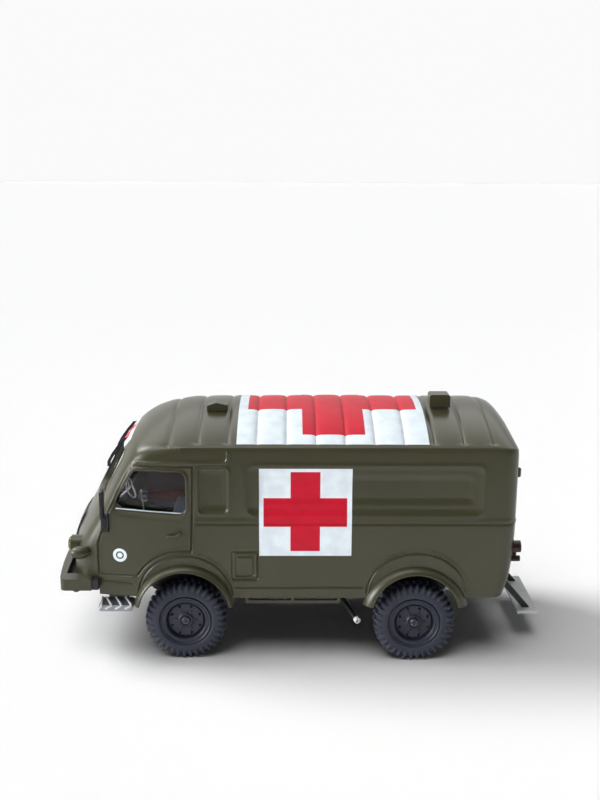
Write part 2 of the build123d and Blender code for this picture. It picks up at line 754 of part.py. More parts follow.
# ---------------------------------------------------------------- front bumper
with BuildPart() as front_bumper:
    with BuildSketch(Plane.XY.offset(bumper_low_z)) as bumper_plan:
        with BuildLine():
            ThreePointArc((bumper_corner_x, -bumper_y), (bumper_face_x, 0), (bumper_corner_x, bumper_y))
            Polyline((bumper_corner_x, bumper_y), (bumper_end_x, bumper_y))
            Polyline((bumper_corner_x, -bumper_y), (bumper_end_x, -bumper_y))
            Line((bumper_end_x, bumper_y), (bumper_end_x, -bumper_y))
        make_face()
        fillet(bumper_plan.vertices().group_by(Axis.X)[-1], bumper_corner_radius)
        with BuildLine():
            ThreePointArc(
                (bumper_corner_x - bumper_lip, -bumper_inner_y),
                (bumper_face_x - bumper_thickness, 0),
                (bumper_corner_x - bumper_lip, bumper_inner_y),
            )
            Polyline(
                (bumper_corner_x - bumper_lip, bumper_inner_y),
                (bumper_end_x - 1, bumper_inner_y),
                (bumper_end_x - 1, -bumper_inner_y),
                (bumper_corner_x - bumper_lip, -bumper_inner_y),
            )
        make_face(mode=Mode.SUBTRACT)
    extrude(amount=bumper_height)
    add(outer_form, mode=Mode.SUBTRACT)
front_bumper.part.label = "front_bumper"
export_step(front_bumper.part, "parts/front_bumper.step")

# black irons, the tray behind the bumper, the end brackets and two towing hooks
with BuildPart() as bumper_irons:
    with Locations((bumper_corner_x - 2.5, 0, bumper_low_z + tray_thickness / 2)):
        Box(tray_length, 2 * bumper_inner_y, tray_thickness)
    for side in (1, -1):
        with Locations((iron_x, side * iron_y, base_bottom_z - iron_thickness / 2)):
            Box(iron_length, iron_width, iron_thickness)
        upright_x = iron_x + iron_length / 2 - 0.6
        with Locations((upright_x, side * iron_y, (base_bottom_z + bumper_low_z) / 2)):
            Box(1.2, iron_width, bumper_low_z - base_bottom_z + 0.4)
        with Locations((bumper_end_x - 0.7, side * (bumper_y - 1.2), bumper_low_z + bumper_height / 2)):
            Box(1.8, 2.0, bumper_height - 0.3)
        with Locations(Location((hook_x, side * (bumper_y - 2.1), bumper_low_z), (90, 0, 0))):
            Cylinder(hook_radius, 0.8)
    add(front_bumper.part, mode=Mode.SUBTRACT)
    add(outer_form, mode=Mode.SUBTRACT)
bumper_irons.part.label = "bumper_irons"
export_step(bumper_irons.part, "parts/bumper_irons.step")

# ---------------------------------------------------------------- lamps
with BuildPart() as headlamp_rims:
    for side in (1, -1):
        with BuildSketch(Plane.YZ.offset(headlamp_face_x)):
            with Locations((side * headlamp_y, headlamp_z)):
                Circle(headlamp_radius)
        extrude(amount=-6)
    add(outer_form, mode=Mode.SUBTRACT)
    for side in (1, -1):
        with BuildSketch(Plane.YZ.offset(headlamp_face_x)):
            with Locations((side * headlamp_y, headlamp_z)):
                Circle(lens_radius)
        extrude(amount=-lens_seat, mode=Mode.SUBTRACT)
headlamp_rims.part.label = "headlamp_rims"
export_step(headlamp_rims.part, "parts/headlamp_rims.step")

with BuildPart() as headlamp_lenses:
    with BuildSketch(Plane.YZ.offset(headlamp_face_x - lens_seat)):
        with Locations((headlamp_y, headlamp_z), (-headlamp_y, headlamp_z)):
            Circle(lens_radius)
    extrude(amount=lens_seat + lens_bulge)
    fillet(headlamp_lenses.edges().group_by(Axis.X)[-1], lens_bulge - 0.1)
headlamp_lenses.part.label = "headlamp_lenses"
export_step(headlamp_lenses.part, "parts/headlamp_lenses.step")

with BuildPart() as side_lamps:
    for side in (1, -1):
        with BuildSketch(Plane.XZ.offset(-side * side_lamp_y)):
            with BuildLine():
                glass_edge = (side_lamp_face_x, side_lamp_z + side_lamp_glass_radius)
                widest = (side_lamp_face_x - 1.2, side_lamp_z + side_lamp_radius)
                tail_edge = (side_lamp_face_x - side_lamp_length, side_lamp_z + side_lamp_tail_radius)
                ThreePointArc(glass_edge, widest, tail_edge)
                Polyline(
                    tail_edge,
                    (side_lamp_face_x - side_lamp_length, side_lamp_z),
                    (side_lamp_face_x, side_lamp_z),
                    glass_edge,
                )
            make_face()
        revolve(axis=Axis((0, side * side_lamp_y, side_lamp_z), (1, 0, 0)), revolution_arc=360)
        with Locations((side_lamp_face_x - 2.2, side * (side_lamp_y - 1.2), side_lamp_z)):
            Box(1.6, 1.6, 1.2)
    add(outer_form, mode=Mode.SUBTRACT)
side_lamps.part.label = "side_lamps"
export_step(side_lamps.part, "parts/side_lamps.step")

with BuildPart() as tail_lamps:
    for side in (1, -1):
        with BuildSketch(Plane.YZ.offset(tail_x - 1.1)):
            with Locations((side * tail_lamp_y, tail_lamp_z)):
                Circle(tail_lamp_radius)
            with Locations((side * tail_lamp_y, tail_lamp_z - reflector_drop)):
                Circle(reflector_radius)
        extrude(amount=4)
    add(outer_form, mode=Mode.SUBTRACT)
tail_lamps.part.label = "tail_lamps"
export_step(tail_lamps.part, "parts/tail_lamps.step")

# ---------------------------------------------------------------- nose grille and wipers
with BuildPart() as nose_grille:
    with BuildSketch(Plane.YZ.offset(front_axle_x)):
        with Locations((0, grille_z)):
            RectangleRounded(grille_width, grille_height, 1.0)
        with Locations((0, grille_z)):
            with GridLocations(0, grille_height / grille_slots, 1, grille_slots):
                Rectangle(grille_width - 2 * grille_margin, grille_slot_height, mode=Mode.SUBTRACT)
    extrude(amount=past)
    add(body_form(-grille_thickness) - outer_form, mode=Mode.INTERSECT)
nose_grille.part.label = "nose_grille"
export_step(nose_grille.part, "parts/nose_grille.step")

with BuildPart() as wipers:
    for side in (1, -1):
        with BuildSketch(Plane.XZ.offset(-side * wiper_y)):
            with BuildLine():
                Polyline(*[(front_axle_x + x, screen_top_z + rise) for x, rise in wiper_arm], close=True)
            make_face()
        extrude(amount=wiper_arm_width / 2, both=True)
        with BuildSketch(Plane.XZ.offset(-side * wiper_y)):
            with BuildLine():
                Polyline(*[(front_axle_x + x, screen_top_z + rise) for x, rise in wiper_blade], close=True)
            make_face()
        extrude(amount=wiper_blade_width / 2, both=True)
    add(outer_form, mode=Mode.SUBTRACT)
wipers.part.label = "wipers"
export_step(wipers.part, "parts/wipers.step")

# ---------------------------------------------------------------- mirrors
with BuildPart() as mirrors:
    for side in (1, -1):
        for along, out, rise, size in mirror_blocks:
            with Locations((mirror_x + along, side * (half_width + out), mirror_foot_z + rise)):
                Box(*size)
        for rivet_z in (mirror_foot_z - 1.1, mirror_foot_z + 1.0):
            with Locations(Location((mirror_x, side * (half_width - 1.1), rivet_z), (90, 0, 0))):
                Cylinder(0.3, 0.3)
    add(outer_form, mode=Mode.SUBTRACT)
mirrors.part.label = "mirrors"
export_step(mirrors.part, "parts/mirrors.step")

with BuildPart() as door_handles:
    for side in (1, -1):
        with Locations((handle_x, side * (half_width + 0.55), handle_z)):
            Box(handle_length, 0.5, handle_height)
        with Locations((handle_x - 1.4, side * half_width, handle_z)):
            Box(0.8, 1.4, handle_height)
    add(outer_form, mode=Mode.SUBTRACT)
door_handles.part.label = "door_handles"
export_step(door_handles.part, "parts/door_handles.step")

# ---------------------------------------------------------------- roof vents
with BuildPart() as roof_vent_front:
    with BuildSketch(Plane.XZ.offset(-front_vent_y)):
        with BuildLine():
            Polyline(*[(front_axle_x + x, roof_crest_z + rise) for x, rise in front_vent_profile], close=True)
        make_face()
    extrude(amount=front_vent_width / 2, both=True)
    add(outer_form, mode=Mode.SUBTRACT)
roof_vent_front.part.label = "roof_vent_front"
export_step(roof_vent_front.part, "parts/roof_vent_front.step")

with BuildPart() as roof_vent_rear:
    with BuildSketch(Plane.XZ.offset(-rear_vent_y)):
        with BuildLine():
            Polyline(*[(front_axle_x + x, roof_crest_z + rise) for x, rise in rear_vent_profile], close=True)
        make_face()
    extrude(amount=rear_vent_width / 2, both=True)
    add(outer_form, mode=Mode.SUBTRACT)
roof_vent_rear.part.label = "roof_vent_rear"
export_step(roof_vent_rear.part, "parts/roof_vent_rear.step")

# ---------------------------------------------------------------- steps and side frames
with BuildPart() as front_steps:
    for side in (1, -1):
        with Locations((front_step_x, side * (half_width - 2.9), front_step_top_z - 0.5)):
            Box(8.0, 6.8, 1.0)
        hanger_height = base_bottom_z - front_step_top_z
        with Locations((front_step_x, side * (half_width - 5.4), front_step_top_z + hanger_height / 2)):
            Box(5.0, 1.8, hanger_height)
front_steps.part.label = "front_steps"
export_step(front_steps.part, "parts/front_steps.step")

with BuildPart() as side_frames:
    for side in (1, -1):
        with Locations((frame_centre_x, side * frame_bar_y, frame_bar_z)):
            Box(frame_length, frame_bar, frame_bar)
        upright_reach = (frame_length - frame_bar) / 2
        for along in (-upright_reach, 0, upright_reach):
            with Locations((frame_centre_x + along, side * frame_bar_y, (frame_bar_z + base_bottom_z) / 2)):
                Box(frame_bar, frame_bar, base_bottom_z - frame_bar_z)
side_frames.part.label = "side_frames"
export_step(side_frames.part, "parts/side_frames.step")

with BuildPart() as rear_step_bracket:
    for side in (1, -1):
        with BuildSketch(Plane.XZ.offset(-side * step_arm_y)):
            with BuildLine():
                Polyline(*[(front_axle_x + x, z) for x, z in step_arm], close=True)
            make_face()
        extrude(amount=step_arm_width / 2, both=True)
rear_step_bracket.part.label = "rear_step_bracket"
export_step(rear_step_bracket.part, "parts/rear_step_bracket.step")

with BuildPart() as rear_step_plate:
    plate_x = rear_axle_x - rear_step_reach + step_plate_length / 2
    with Locations((plate_x, 0, step_plate_z + step_plate_thickness / 2)):
        Box(step_plate_length, step_plate_width, step_plate_thickness)
rear_step_plate.part.label = "rear_step_plate"
export_step(rear_step_plate.part, "parts/rear_step_plate.step")

# ---------------------------------------------------------------- interior
with BuildPart() as bulkhead:
    with Locations((cab_back_x, 0, base_top_z + past / 2)):
        Box(bulkhead_thickness, past, past)
    add(lining, mode=Mode.INTERSECT)
    with Locations(Location((front_axle_x, 0, arch_z), (90, 0, 0))):
        Cylinder(well_radius + well_wall + 0.05, past, mode=Mode.SUBTRACT)
    # between the wheel wells it runs down to the base
    foot_height = 7.4
    with Locations((cab_back_x, 0, base_top_z + foot_height / 2)):
        Box(bulkhead_thickness, 2 * (well_inner_y - 0.1), foot_height)
bulkhead.part.label = "bulkhead"
export_step(bulkhead.part, "parts/bulkhead.step")

with BuildPart() as cab_floor:
    with Locations((front_axle_x + 7.1, 0, base_top_z + cab_floor_thickness / 2)):
        Box(21.4, 28.0, cab_floor_thickness)
    # engine cover between the seats, then the two seat boxes
    with Locations((front_axle_x + 10.5, 0, base_top_z + cab_floor_thickness + engine_box_height / 2)):
        Box(14.0, 7.0, engine_box_height)
    seat_box_height = seat_z - base_top_z - cab_floor_thickness
    for side in (1, -1):
        with Locations((front_axle_x + 0.6, side * (seat_y - 1.0), seat_z - seat_box_height / 2)):
            Box(7.6, 9.0, seat_box_height)
cab_floor.part.label = "cab_floor"
export_step(cab_floor.part, "parts/cab_floor.step")

with BuildPart() as seat_cushions:
    for side in (1, -1):
        with Locations((front_axle_x + 1.4, side * seat_y, seat_z + cushion_height / 2)):
            Box(8.4, seat_width, cushion_height)
    fillet(seat_cushions.edges().group_by(Axis.Z)[-1], 0.8)
seat_cushions.part.label = "seat_cushions"
export_step(seat_cushions.part, "parts/seat_cushions.step")

with BuildPart() as seat_backs:
    for side in (1, -1):
        with Locations((front_axle_x - 2.4, side * seat_y, seat_z + cushion_height + seat_back_height / 2)):
            Box(2.6, seat_width, seat_back_height)
    fillet(seat_backs.edges().group_by(Axis.X)[-1], 0.8)
seat_backs.part.label = "seat_backs"
export_step(seat_backs.part, "parts/seat_backs.step")

with BuildPart() as dashboard:
    with Locations((dashboard_x, 0, dashboard_z)):
        Box(8, past, 3.0)
    add(lining, mode=Mode.INTERSECT)
dashboard.part.label = "dashboard"
export_step(dashboard.part, "parts/dashboard.step")

column = Edge.make_line(column_foot, column_head)
with BuildPart() as steering_wheel:
    with BuildSketch(Plane(origin=column_foot, z_dir=column % 0)):
        Circle(0.4)
    extrude(amount=column.length)
    wheel_plane = Plane(origin=column_head, z_dir=column % 1)
    add(wheel_plane.location * Torus(steering_rim_radius, 0.3, mode=Mode.PRIVATE))
    for turn in (90, 210, 330):
        spoke = Box(steering_rim_radius, 0.4, 0.4, mode=Mode.PRIVATE)
        add(wheel_plane.location * Rot(0, 0, turn) * Pos(steering_rim_radius / 2, 0, -0.1) * spoke)
    # the column ends on the dashboard
    add(dashboard.part, mode=Mode.SUBTRACT)
steering_wheel.part.label = "steering_wheel"
export_step(steering_wheel.part, "parts/steering_wheel.step")

lever_foot = (front_axle_x + 11.2, 3.0, base_top_z + cab_floor_thickness + engine_box_height)
lever_head = (front_axle_x + 12.1, 3.0, 36.0)
lever = Edge.make_line(lever_foot, lever_head)
with BuildPart() as gear_lever:
    with BuildSketch(Plane(origin=lever_foot, z_dir=lever % 0)):
        Circle(0.3)
    extrude(amount=lever.length)
    with Locations(lever_head):
        Sphere(0.7)
    with Locations((lever_foot[0], lever_foot[1], lever_foot[2] + 0.2)):
        Cylinder(0.6, 0.4)
gear_lever.part.label = "gear_lever"
export_step(gear_lever.part, "parts/gear_lever.step")
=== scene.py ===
"""Looks of a 1:43 die-cast military ambulance van: satin olive enamel over a metal casting, tampo-printed red
crosses on white panels, moulded black underbody, blue-black wheels and soft lugged tyres."""
from math import asin, atan2, cos, hypot, pi, radians, sin, tan

import bmesh
import bpy
import numpy as np
from mathutils import Matrix, Vector


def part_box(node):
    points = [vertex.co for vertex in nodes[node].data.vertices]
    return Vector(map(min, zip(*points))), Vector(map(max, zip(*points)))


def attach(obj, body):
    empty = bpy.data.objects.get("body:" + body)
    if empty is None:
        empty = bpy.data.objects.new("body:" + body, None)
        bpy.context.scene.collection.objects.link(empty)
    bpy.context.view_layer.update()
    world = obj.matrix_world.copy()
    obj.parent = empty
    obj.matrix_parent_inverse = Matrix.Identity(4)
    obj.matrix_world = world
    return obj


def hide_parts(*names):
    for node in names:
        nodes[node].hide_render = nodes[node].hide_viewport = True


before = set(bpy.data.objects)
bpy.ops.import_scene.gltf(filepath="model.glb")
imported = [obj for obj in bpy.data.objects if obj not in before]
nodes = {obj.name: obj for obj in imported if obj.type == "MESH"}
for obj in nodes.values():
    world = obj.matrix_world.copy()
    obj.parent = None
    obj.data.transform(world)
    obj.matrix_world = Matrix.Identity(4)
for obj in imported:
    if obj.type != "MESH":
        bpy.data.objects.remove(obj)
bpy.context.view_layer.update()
MM = 0.001
SIDES = ((1, "left"), (-1, "right"))


def mid(name):
    """Middle of a CAD node's box, in metres."""
    low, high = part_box(name)
    return (Vector(low) + Vector(high)) / 2


def placed(name, data):
    """A new object in the scene."""
    made = bpy.data.objects.new(name, data)
    bpy.context.scene.collection.objects.link(made)
    return made


def smooth(name, mesh):
    """A new smooth-shaded mesh object in the scene."""
    mesh.polygons.foreach_set("use_smooth", [True] * len(mesh.polygons))
    return placed(name, mesh)


# ---------------------------------------------------------------- colour and shader helpers
def colour(code):
    """An sRGB hex colour as the linear values that sockets take."""
    parts = [int(code[i:i + 2], 16) / 255 for i in (1, 3, 5)]
    return (*[c / 12.92 if c <= 0.04045 else ((c + 0.055) / 1.055) ** 2.4 for c in parts], 1.0)


def brighter(code, share):
    """A colour made lighter or darker by a share."""
    return [min(1.0, part * share) for part in colour(code)[:3]] + [1]


def add_node(tree, kind, settings=None, links=None, values=None):
    """Adds a node, sets its properties and input values, and links its inputs to other nodes' outputs."""
    made = tree.nodes.new(kind)
    for name, value in (settings or {}).items():
        setattr(made, name, value)
    for name, value in (values or {}).items():
        made.inputs[name].default_value = value
    for name, source in (links or {}).items():
        tree.links.new(source, made.inputs[name])
    return made


def new_material(name, **values):
    """A material with one Principled shader, set by socket names."""
    made = bpy.data.materials.new(name)
    made.use_nodes = True
    tree = made.node_tree
    shader = tree.nodes["Principled BSDF"]
    for key, value in values.items():
        shader.inputs[key.replace("_", " ")].default_value = value
    return made, tree, shader


def noise(tree, place, scale, detail):
    return add_node(tree, "ShaderNodeTexNoise", links={"Vector": place},
                    values={"Scale": scale, "Detail": detail}).outputs["Fac"]


def toned_noise(tree, place, scale, detail, stops):
    """A cloudy noise coloured between two stops, each a position and a colour."""
    ramp = add_node(tree, "ShaderNodeValToRGB", links={"Fac": noise(tree, place, scale, detail)})
    for element, (position, shade) in zip(ramp.color_ramp.elements, stops):
        element.position = position
        element.color = shade
    return ramp.outputs["Color"]


def grain_bump(tree, shader, height, strength):
    """Lets a noise raise the surface by up to a tenth of a millimetre times its strength."""
    bump = add_node(tree, "ShaderNodeBump", values={"Strength": strength, "Distance": 0.1 * MM},
                    links={"Height": height})
    tree.links.new(bump.outputs["Normal"], shader.inputs["Normal"])


def sprayed_olive(name, code):
    """Satin olive enamel: orange peel a third of a millimetre across, and a faint drift in tone."""
    made, tree, shader = new_material(name, Roughness=0.3, IOR=1.5)
    place = add_node(tree, "ShaderNodeTexCoord").outputs["Object"]
    tone = toned_noise(tree, place, 60.0, 3.0, ((0.35, colour(code)), (0.7, brighter(code, 1.12))))
    tree.links.new(tone, shader.inputs["Base Color"])
    grain_bump(tree, shader, noise(tree, place, 3000.0, 1.0), 0.06)
    return made


def fine_grained(name, code, roughness, metallic=0.0):
    """A moulded, plated or printed surface: faint clouds in its tone, a fine grain that its sheen follows."""
    made, tree, shader = new_material(name, Metallic=metallic)
    place = add_node(tree, "ShaderNodeTexCoord").outputs["Object"]
    tone = toned_noise(tree, place, 350.0, 3.0, ((0.35, brighter(code, 0.94)), (0.65, brighter(code, 1.06))))
    tree.links.new(tone, shader.inputs["Base Color"])
    grain = noise(tree, place, 2500.0, 2.0)
    sheen = add_node(tree, "ShaderNodeMapRange", links={"Value": grain}, values={
        "From Min": 0.3, "From Max": 0.7, "To Min": roughness - 0.06, "To Max": roughness + 0.06})
    tree.links.new(sheen.outputs["Result"], shader.inputs["Roughness"])
    grain_bump(tree, shader, grain, 0.05)
    return made


def clear_plastic(name, code, roughness=0.05):
    """Thin clear polystyrene, which hardly bends the light, so that the cab shows through it undistorted."""
    made, tree, shader = new_material(name, Roughness=roughness, IOR=1.3)
    shader.inputs["Base Color"].default_value = colour(code)
    shader.inputs["Transmission Weight"].default_value = 1.0
    return made


def tampo_ink(name, code):
    """Pad-printed ink: flat, strong and duller than the enamel round it."""
    made = fine_grained(name, code, 0.45)
    made.node_tree.nodes["Principled BSDF"].inputs["Specular IOR Level"].default_value = 0.3
    return made


def paint(name, material):
    """Gives a CAD node its one material."""
    slots = nodes[name].data.materials
    slots.clear()
    slots.append(material)


# body and what is sprayed with it: dark, warm and softly shining
olive = sprayed_olive("olive_enamel", "#383725")
# chassis, axles, mirrors and wipers: dull and a little cold
black = fine_grained("black_moulding", "#1a1b20", 0.5)
# wheels shine a little and lean to blue beside the softer, greyer rubber
wheel_black = fine_grained("wheel_moulding", "#1e2130", 0.42)
rubber = fine_grained("tyre_rubber", "#2a2d3a", 0.62)
# metal that catches the light: pins and screws, and the steps' silver ribs and skirts
steel = fine_grained("bright_steel", "#c9cacc", 0.3, metallic=1.0)
silver = fine_grained("silver_tread", "#8c8f95", 0.4)
silver_paint = fine_grained("silver_paint", "#c6c7ca", 0.38)
# painted shade: the steps' plate and hanger, dark grey as the shade between and under the silver ribs
tread_painted_shade = fine_grained("tread_painted_shade", "#54565c", 0.45)
# painted glint: the exhaust's chrome tip, painted near white as the light it reflects
exhaust_painted_glint = fine_grained("exhaust_painted_glint", "#f0f0f1", 0.3)
# the rear step's pale plate
grey = fine_grained("grey_moulding", "#b9bcbc", 0.45)
# the cab, seen dimly through its windows
maroon = fine_grained("maroon_moulding", "#5c3134", 0.6)
seat_red = fine_grained("red_brown_moulding", "#944538", 0.6)
seat_grey = fine_grained("grey_blue_moulding", "#59606c", 0.6)
ivory = fine_grained("ivory_moulding", "#cfcdc4", 0.4)
# windows and lamps
glazing = clear_plastic("clear_glazing", "#e4e8ee")
lens = clear_plastic("yellow_lens", "#f0e2a0", 0.08)
red_lens = fine_grained("tail_red", "#28130f", 0.3)
# the printed panels
white_print = tampo_ink("white_print", "#dae4eb")
red_print = tampo_ink("red_print", "#bd0526")

# what each CAD node that stays in sight is made of; the rest is black plastic
PAINTED = {
    olive: ("body_casting", "front_bumper", "side_frames", "side_lamps", "door_handles", "roof_vent_front",
            "roof_vent_rear", "headlamp_rims"),
    glazing: ("door_glass", "windscreen_glass", "back_door_glass"),
    steel: ("front_axle_pin", "rear_axle_pin", "base_screws"),
    ivory: ("steering_wheel", "gear_lever"),
    lens: ("headlamp_lenses",), red_lens: ("tail_lamps",), exhaust_painted_glint: ("exhaust_tip",),
    silver: ("front_steps",), grey: ("rear_step_plate",), maroon: ("bulkhead",),
    seat_grey: ("seat_cushions",), seat_red: ("seat_backs",),
}
finish_of = {node_name: finish for finish, names in PAINTED.items() for node_name in names}
for node_name in nodes:
    if node_name.startswith("tyre"):
        paint(node_name, rubber)
    elif node_name.startswith("wheel"):
        paint(node_name, wheel_black)
    else:
        paint(node_name, finish_of.get(node_name, black))

# the front axle's place along the van, in millimetres
FRONT_X = mid("front_axle_pin").x / MM


# ---------------------------------------------------------------- the body's form
# millimetres: x from the front axle, y from the middle, z from the ground
HALF_WIDTH = 22.3
TAIL_X = -77.6
WALL = 1.2
GUTTER_Z = 52.6
CREST_Z = 58.6
# the walls reach up to here, and the roof begins
WALL_TOP_Z = 51.6
# the cab draws in from the door's rear edge forward, by TAPER_IN once it has run TAPER_RUN
TAPER_X, TAPER_IN, TAPER_RUN = -2.0, 2.8, 25.0
# the rear wall bows out a little and turns into the side round a corner this long and this wide
REAR_BOW, REAR_CORNER_X, REAR_CORNER_Y = 0.6, 4.0, 3.4
SEAM_PITCH, FIRST_SEAM_X, LAST_SEAM = 6.74, 3.2, 11
FLARE_END_Z = 14.6
# behind the bumper the lower edge is cut higher
NOSE_CUT_X, NOSE_BOTTOM_Z, SILL_Z = 20.1, 17.6, 16.3
BELT_Z = 34.6
# height, nose, bow of the nose, tail drawn in, corner radius
BODY_LEVELS = np.array((
    (SILL_Z, 27.6, 3.3, 2.2, 6.0),
    (21.0, 28.5, 3.3, 0.9, 6.0),
    (26.5, 27.7, 3.6, 0.3, 6.0),
    (33.4, 24.5, 4.1, 0.0, 5.5),
    (37.0, 22.5, 4.4, 0.0, 4.5),
    (44.0, 18.9, 4.4, 0.0, 4.0),
    (51.0, 15.0, 4.4, 0.0, 4.0),
    (60.5, 9.7, 4.4, 0.0, 4.0),
))
# place along the body, crest below the highest crest, edge below the gutter
ROOF_STATIONS = np.array((
    (-79.0, 11.0, 6.0),
    (-77.6, 7.2, 1.6),
    (-76.0, 3.5, 0.5),
    (-73.5, 1.1, 0.1),
    (-70.0, 0.2, 0.0),
    (-28.0, 0.0, 0.0),
    (-2.0, 0.4, 0.0),
    (4.0, 1.3, 0.3),
    (8.5, 3.0, 0.8),
    (12.0, 5.3, 1.7),
    (15.2, 8.3, 3.2),
    (18.5, 11.6, 6.0),
    (23.0, 15.6, 9.8),
    (31.0, 21.0, 15.0),
))
# axle's place, opening's radius, flare's root: height and radius, crease: half length, height and foot
ARCHES = ((0.0, 10.7, 12.6, 11.9, 10.9, 10.3, 16.5), (-54.0, 10.1, 11.4, 12.7, 11.7, 10.4, 17.0))
ARCH_Z = 12.4


def through(table, column, at):
    """A smooth curve through a table's column that never overshoots its points."""
    xs, ys = table[:, 0], table[:, column]
    run = np.diff(xs)
    rise = np.diff(ys) / run
    slope = np.zeros(len(xs))
    for i in range(1, len(run)):
        if rise[i - 1] * rise[i] > 0:
            before, after = 2 * run[i] + run[i - 1], run[i] + 2 * run[i - 1]
            slope[i] = (before + after) / (before / rise[i - 1] + after / rise[i])
    slope[0], slope[-1] = rise[0], rise[-1]
    at = np.clip(at, xs[0], xs[-1])
    i = np.clip(np.searchsorted(xs, at) - 1, 0, len(run) - 1)
    step = run[i]
    t = (at - xs[i]) / step
    return (ys[i] * (1 + 2 * t) * (1 - t) ** 2 + step * slope[i] * t * (1 - t) ** 2
            + ys[i + 1] * t * t * (3 - 2 * t) + step * slope[i + 1] * t * t * (t - 1))


def roof_height(x, y):
    """Height of the arched roof over a place in plan."""
    crest = CREST_Z - through(ROOF_STATIONS, 1, x)
    edge = GUTTER_Z - 0.5 - through(ROOF_STATIONS, 2, x)
    side = HALF_WIDTH + 1.0
    bow = np.maximum(crest - edge, 0.05)
    radius = (side ** 2 + bow ** 2) / (2 * bow)
    return crest - (radius - np.sqrt(np.maximum(radius ** 2 - np.asarray(y, float) ** 2, 0)))


def curve_between(start, start_way, end, end_way, t):
    """A cubic curve from start to end, leaving and arriving along the given ways."""
    near = start + start_way
    far = end - end_way
    return (1 - t) ** 3 * start + 3 * (1 - t) ** 2 * t * near + 3 * (1 - t) * t * t * far + t ** 3 * end


def taper_width(x):
    """Half the body's width at a place along it, where the cab draws in."""
    run = np.maximum(0.0, x - TAPER_X)
    return HALF_WIDTH - TAPER_IN * (run / TAPER_RUN) ** 2


# the side's columns crowd at the roof's seams, so that the pressed seams stay crisp
STRIP_PARTS = (0.0, 0.025, 0.07, 0.14, 0.24, 0.37, 0.5, 0.63, 0.76, 0.86, 0.93, 0.975)
SIDE_START = TAIL_X + REAR_CORNER_X
SIDE_MARKS = [SIDE_START, SIDE_START + 0.7, SIDE_START + 1.5, SIDE_START + 2.1]
for strip in range(LAST_SEAM, 1, -1):
    SIDE_MARKS += [FIRST_SEAM_X - SEAM_PITCH * (strip - part) for part in STRIP_PARTS]
SIDE_MARKS += [-3.54, -3.1, -2.5]
SIDE_T = (np.array(SIDE_MARKS) - SIDE_START) / (TAPER_X - SIDE_START)
# stretches of the half outline, and how many columns each has
STRETCHES = (("rear", 28), ("rear_corner", 8), ("side", len(SIDE_MARKS)), ("taper", 48), ("front_corner", 14),
             ("nose", 32))


def outline_point(stretch, t, z):
    """Where the half outline's column stands at height z, t of the way along its stretch."""
    nose, bow, draw, corner = [through(BODY_LEVELS, column, z) for column in (1, 2, 3, 4)]
    back = TAIL_X + draw
    side_x = nose - bow
    narrow = taper_width(side_x)
    # a front corner starts and ends this far from where its two walls would meet, with handles this long
    leave = 0.58 * corner
    handle = 0.36 * corner
    if stretch == "rear":
        y = t * (HALF_WIDTH - REAR_CORNER_Y)
        return back + REAR_BOW * (y / HALF_WIDTH) ** 2, y
    if stretch == "rear_corner":
        start_y = HALF_WIDTH - REAR_CORNER_Y
        start_x = back + REAR_BOW * (start_y / HALF_WIDTH) ** 2
        return (curve_between(start_x, 0.15, back + REAR_CORNER_X, 1.9, t),
                curve_between(start_y, 1.9, HALF_WIDTH, 0.0, t))
    if stretch == "side":
        x = back + REAR_CORNER_X + t * (TAPER_X - back - REAR_CORNER_X)
        return x, HALF_WIDTH + 0 * x
    taper_end = side_x - leave
    if stretch == "taper":
        x = TAPER_X + t * (taper_end - TAPER_X)
        return x, taper_width(x)
    end_y = narrow - leave
    if stretch == "front_corner":
        start_slope = -2 * TAPER_IN * (taper_end - TAPER_X) / TAPER_RUN ** 2
        end_slope = 2 * bow * end_y / narrow ** 2
        x = curve_between(taper_end, handle, nose - bow * (end_y / narrow) ** 2, handle * end_slope, t)
        y = curve_between(taper_width(taper_end), handle * start_slope, end_y, -handle, t)
        return x, y
    y = end_y * (1 - t)
    return nose - bow * (y / narrow) ** 2, y


def half_outline(z):
    """The whole half outline, with one height for each column."""
    xs, ys = [], []
    start = 0
    for stretch, count in STRETCHES:
        last = stretch == "nose"
        t = np.linspace(0, 1, count + 1)[: count + 1 if last else count]
        t = SIDE_T if stretch == "side" else t
        part = z[start:start + len(t)]
        x, y = outline_point(stretch, t, part)
        xs.append(x)
        ys.append(y)
        start += len(t)
    return np.concatenate(xs), np.concatenate(ys)


COLUMNS = sum(count for stretch, count in STRETCHES) + 1


def rounded(points, radius):
    """Signed distance to a rounded convex outline, negative inside; points run anticlockwise."""
    points = np.array(points, float)
    edge = np.roll(points, -1, axis=0) - points
    length = np.hypot(edge[:, 0], edge[:, 1])
    normal = np.stack((edge[:, 1], -edge[:, 0]), axis=1) / length[:, None]
    offset = (normal * points).sum(axis=1) - radius
    corners = [np.linalg.solve(np.array((normal[i - 1], normal[i])), np.array((offset[i - 1], offset[i])))
               for i in range(len(points))]

    def distance(u, v):
        inside = np.max([way[0] * u + way[1] * v - reach for way, reach in zip(normal, offset)], axis=0)
        return np.where(inside > 0, to_path(u, v, corners + corners[:1]), inside) - radius

    return distance


def to_segment(u, v, a, b):
    """Distance to the straight run from a to b."""
    du, dv = b[0] - a[0], b[1] - a[1]
    along = np.clip(((u - a[0]) * du + (v - a[1]) * dv) / (du * du + dv * dv + 1e-12), 0, 1)
    return np.hypot(u - a[0] - along * du, v - a[1] - along * dv)


def to_path(u, v, points):
    """Distance to a line of straight runs."""
    nearest = np.full(np.shape(u), 1e9)
    for a, b in zip(points[:-1], points[1:]):
        nearest = np.minimum(nearest, to_segment(u, v, a, b))
    return nearest


def box_corners(u, v, half_u, half_v):
    return tuple((u + way * half_u, v + rise * half_v) for way, rise in ((-1, -1), (1, -1), (1, 1), (-1, 1)))


def arch_path(axle_x, half_length, height, base_z, first, last, count=18):
    """Points along an arch-shaped crease, by angle from the front end up and over."""
    angles = np.radians(np.linspace(first, last, count))
    return [(axle_x - 0.2 + half_length * cos(a), base_z + height * sin(a)) for a in angles]


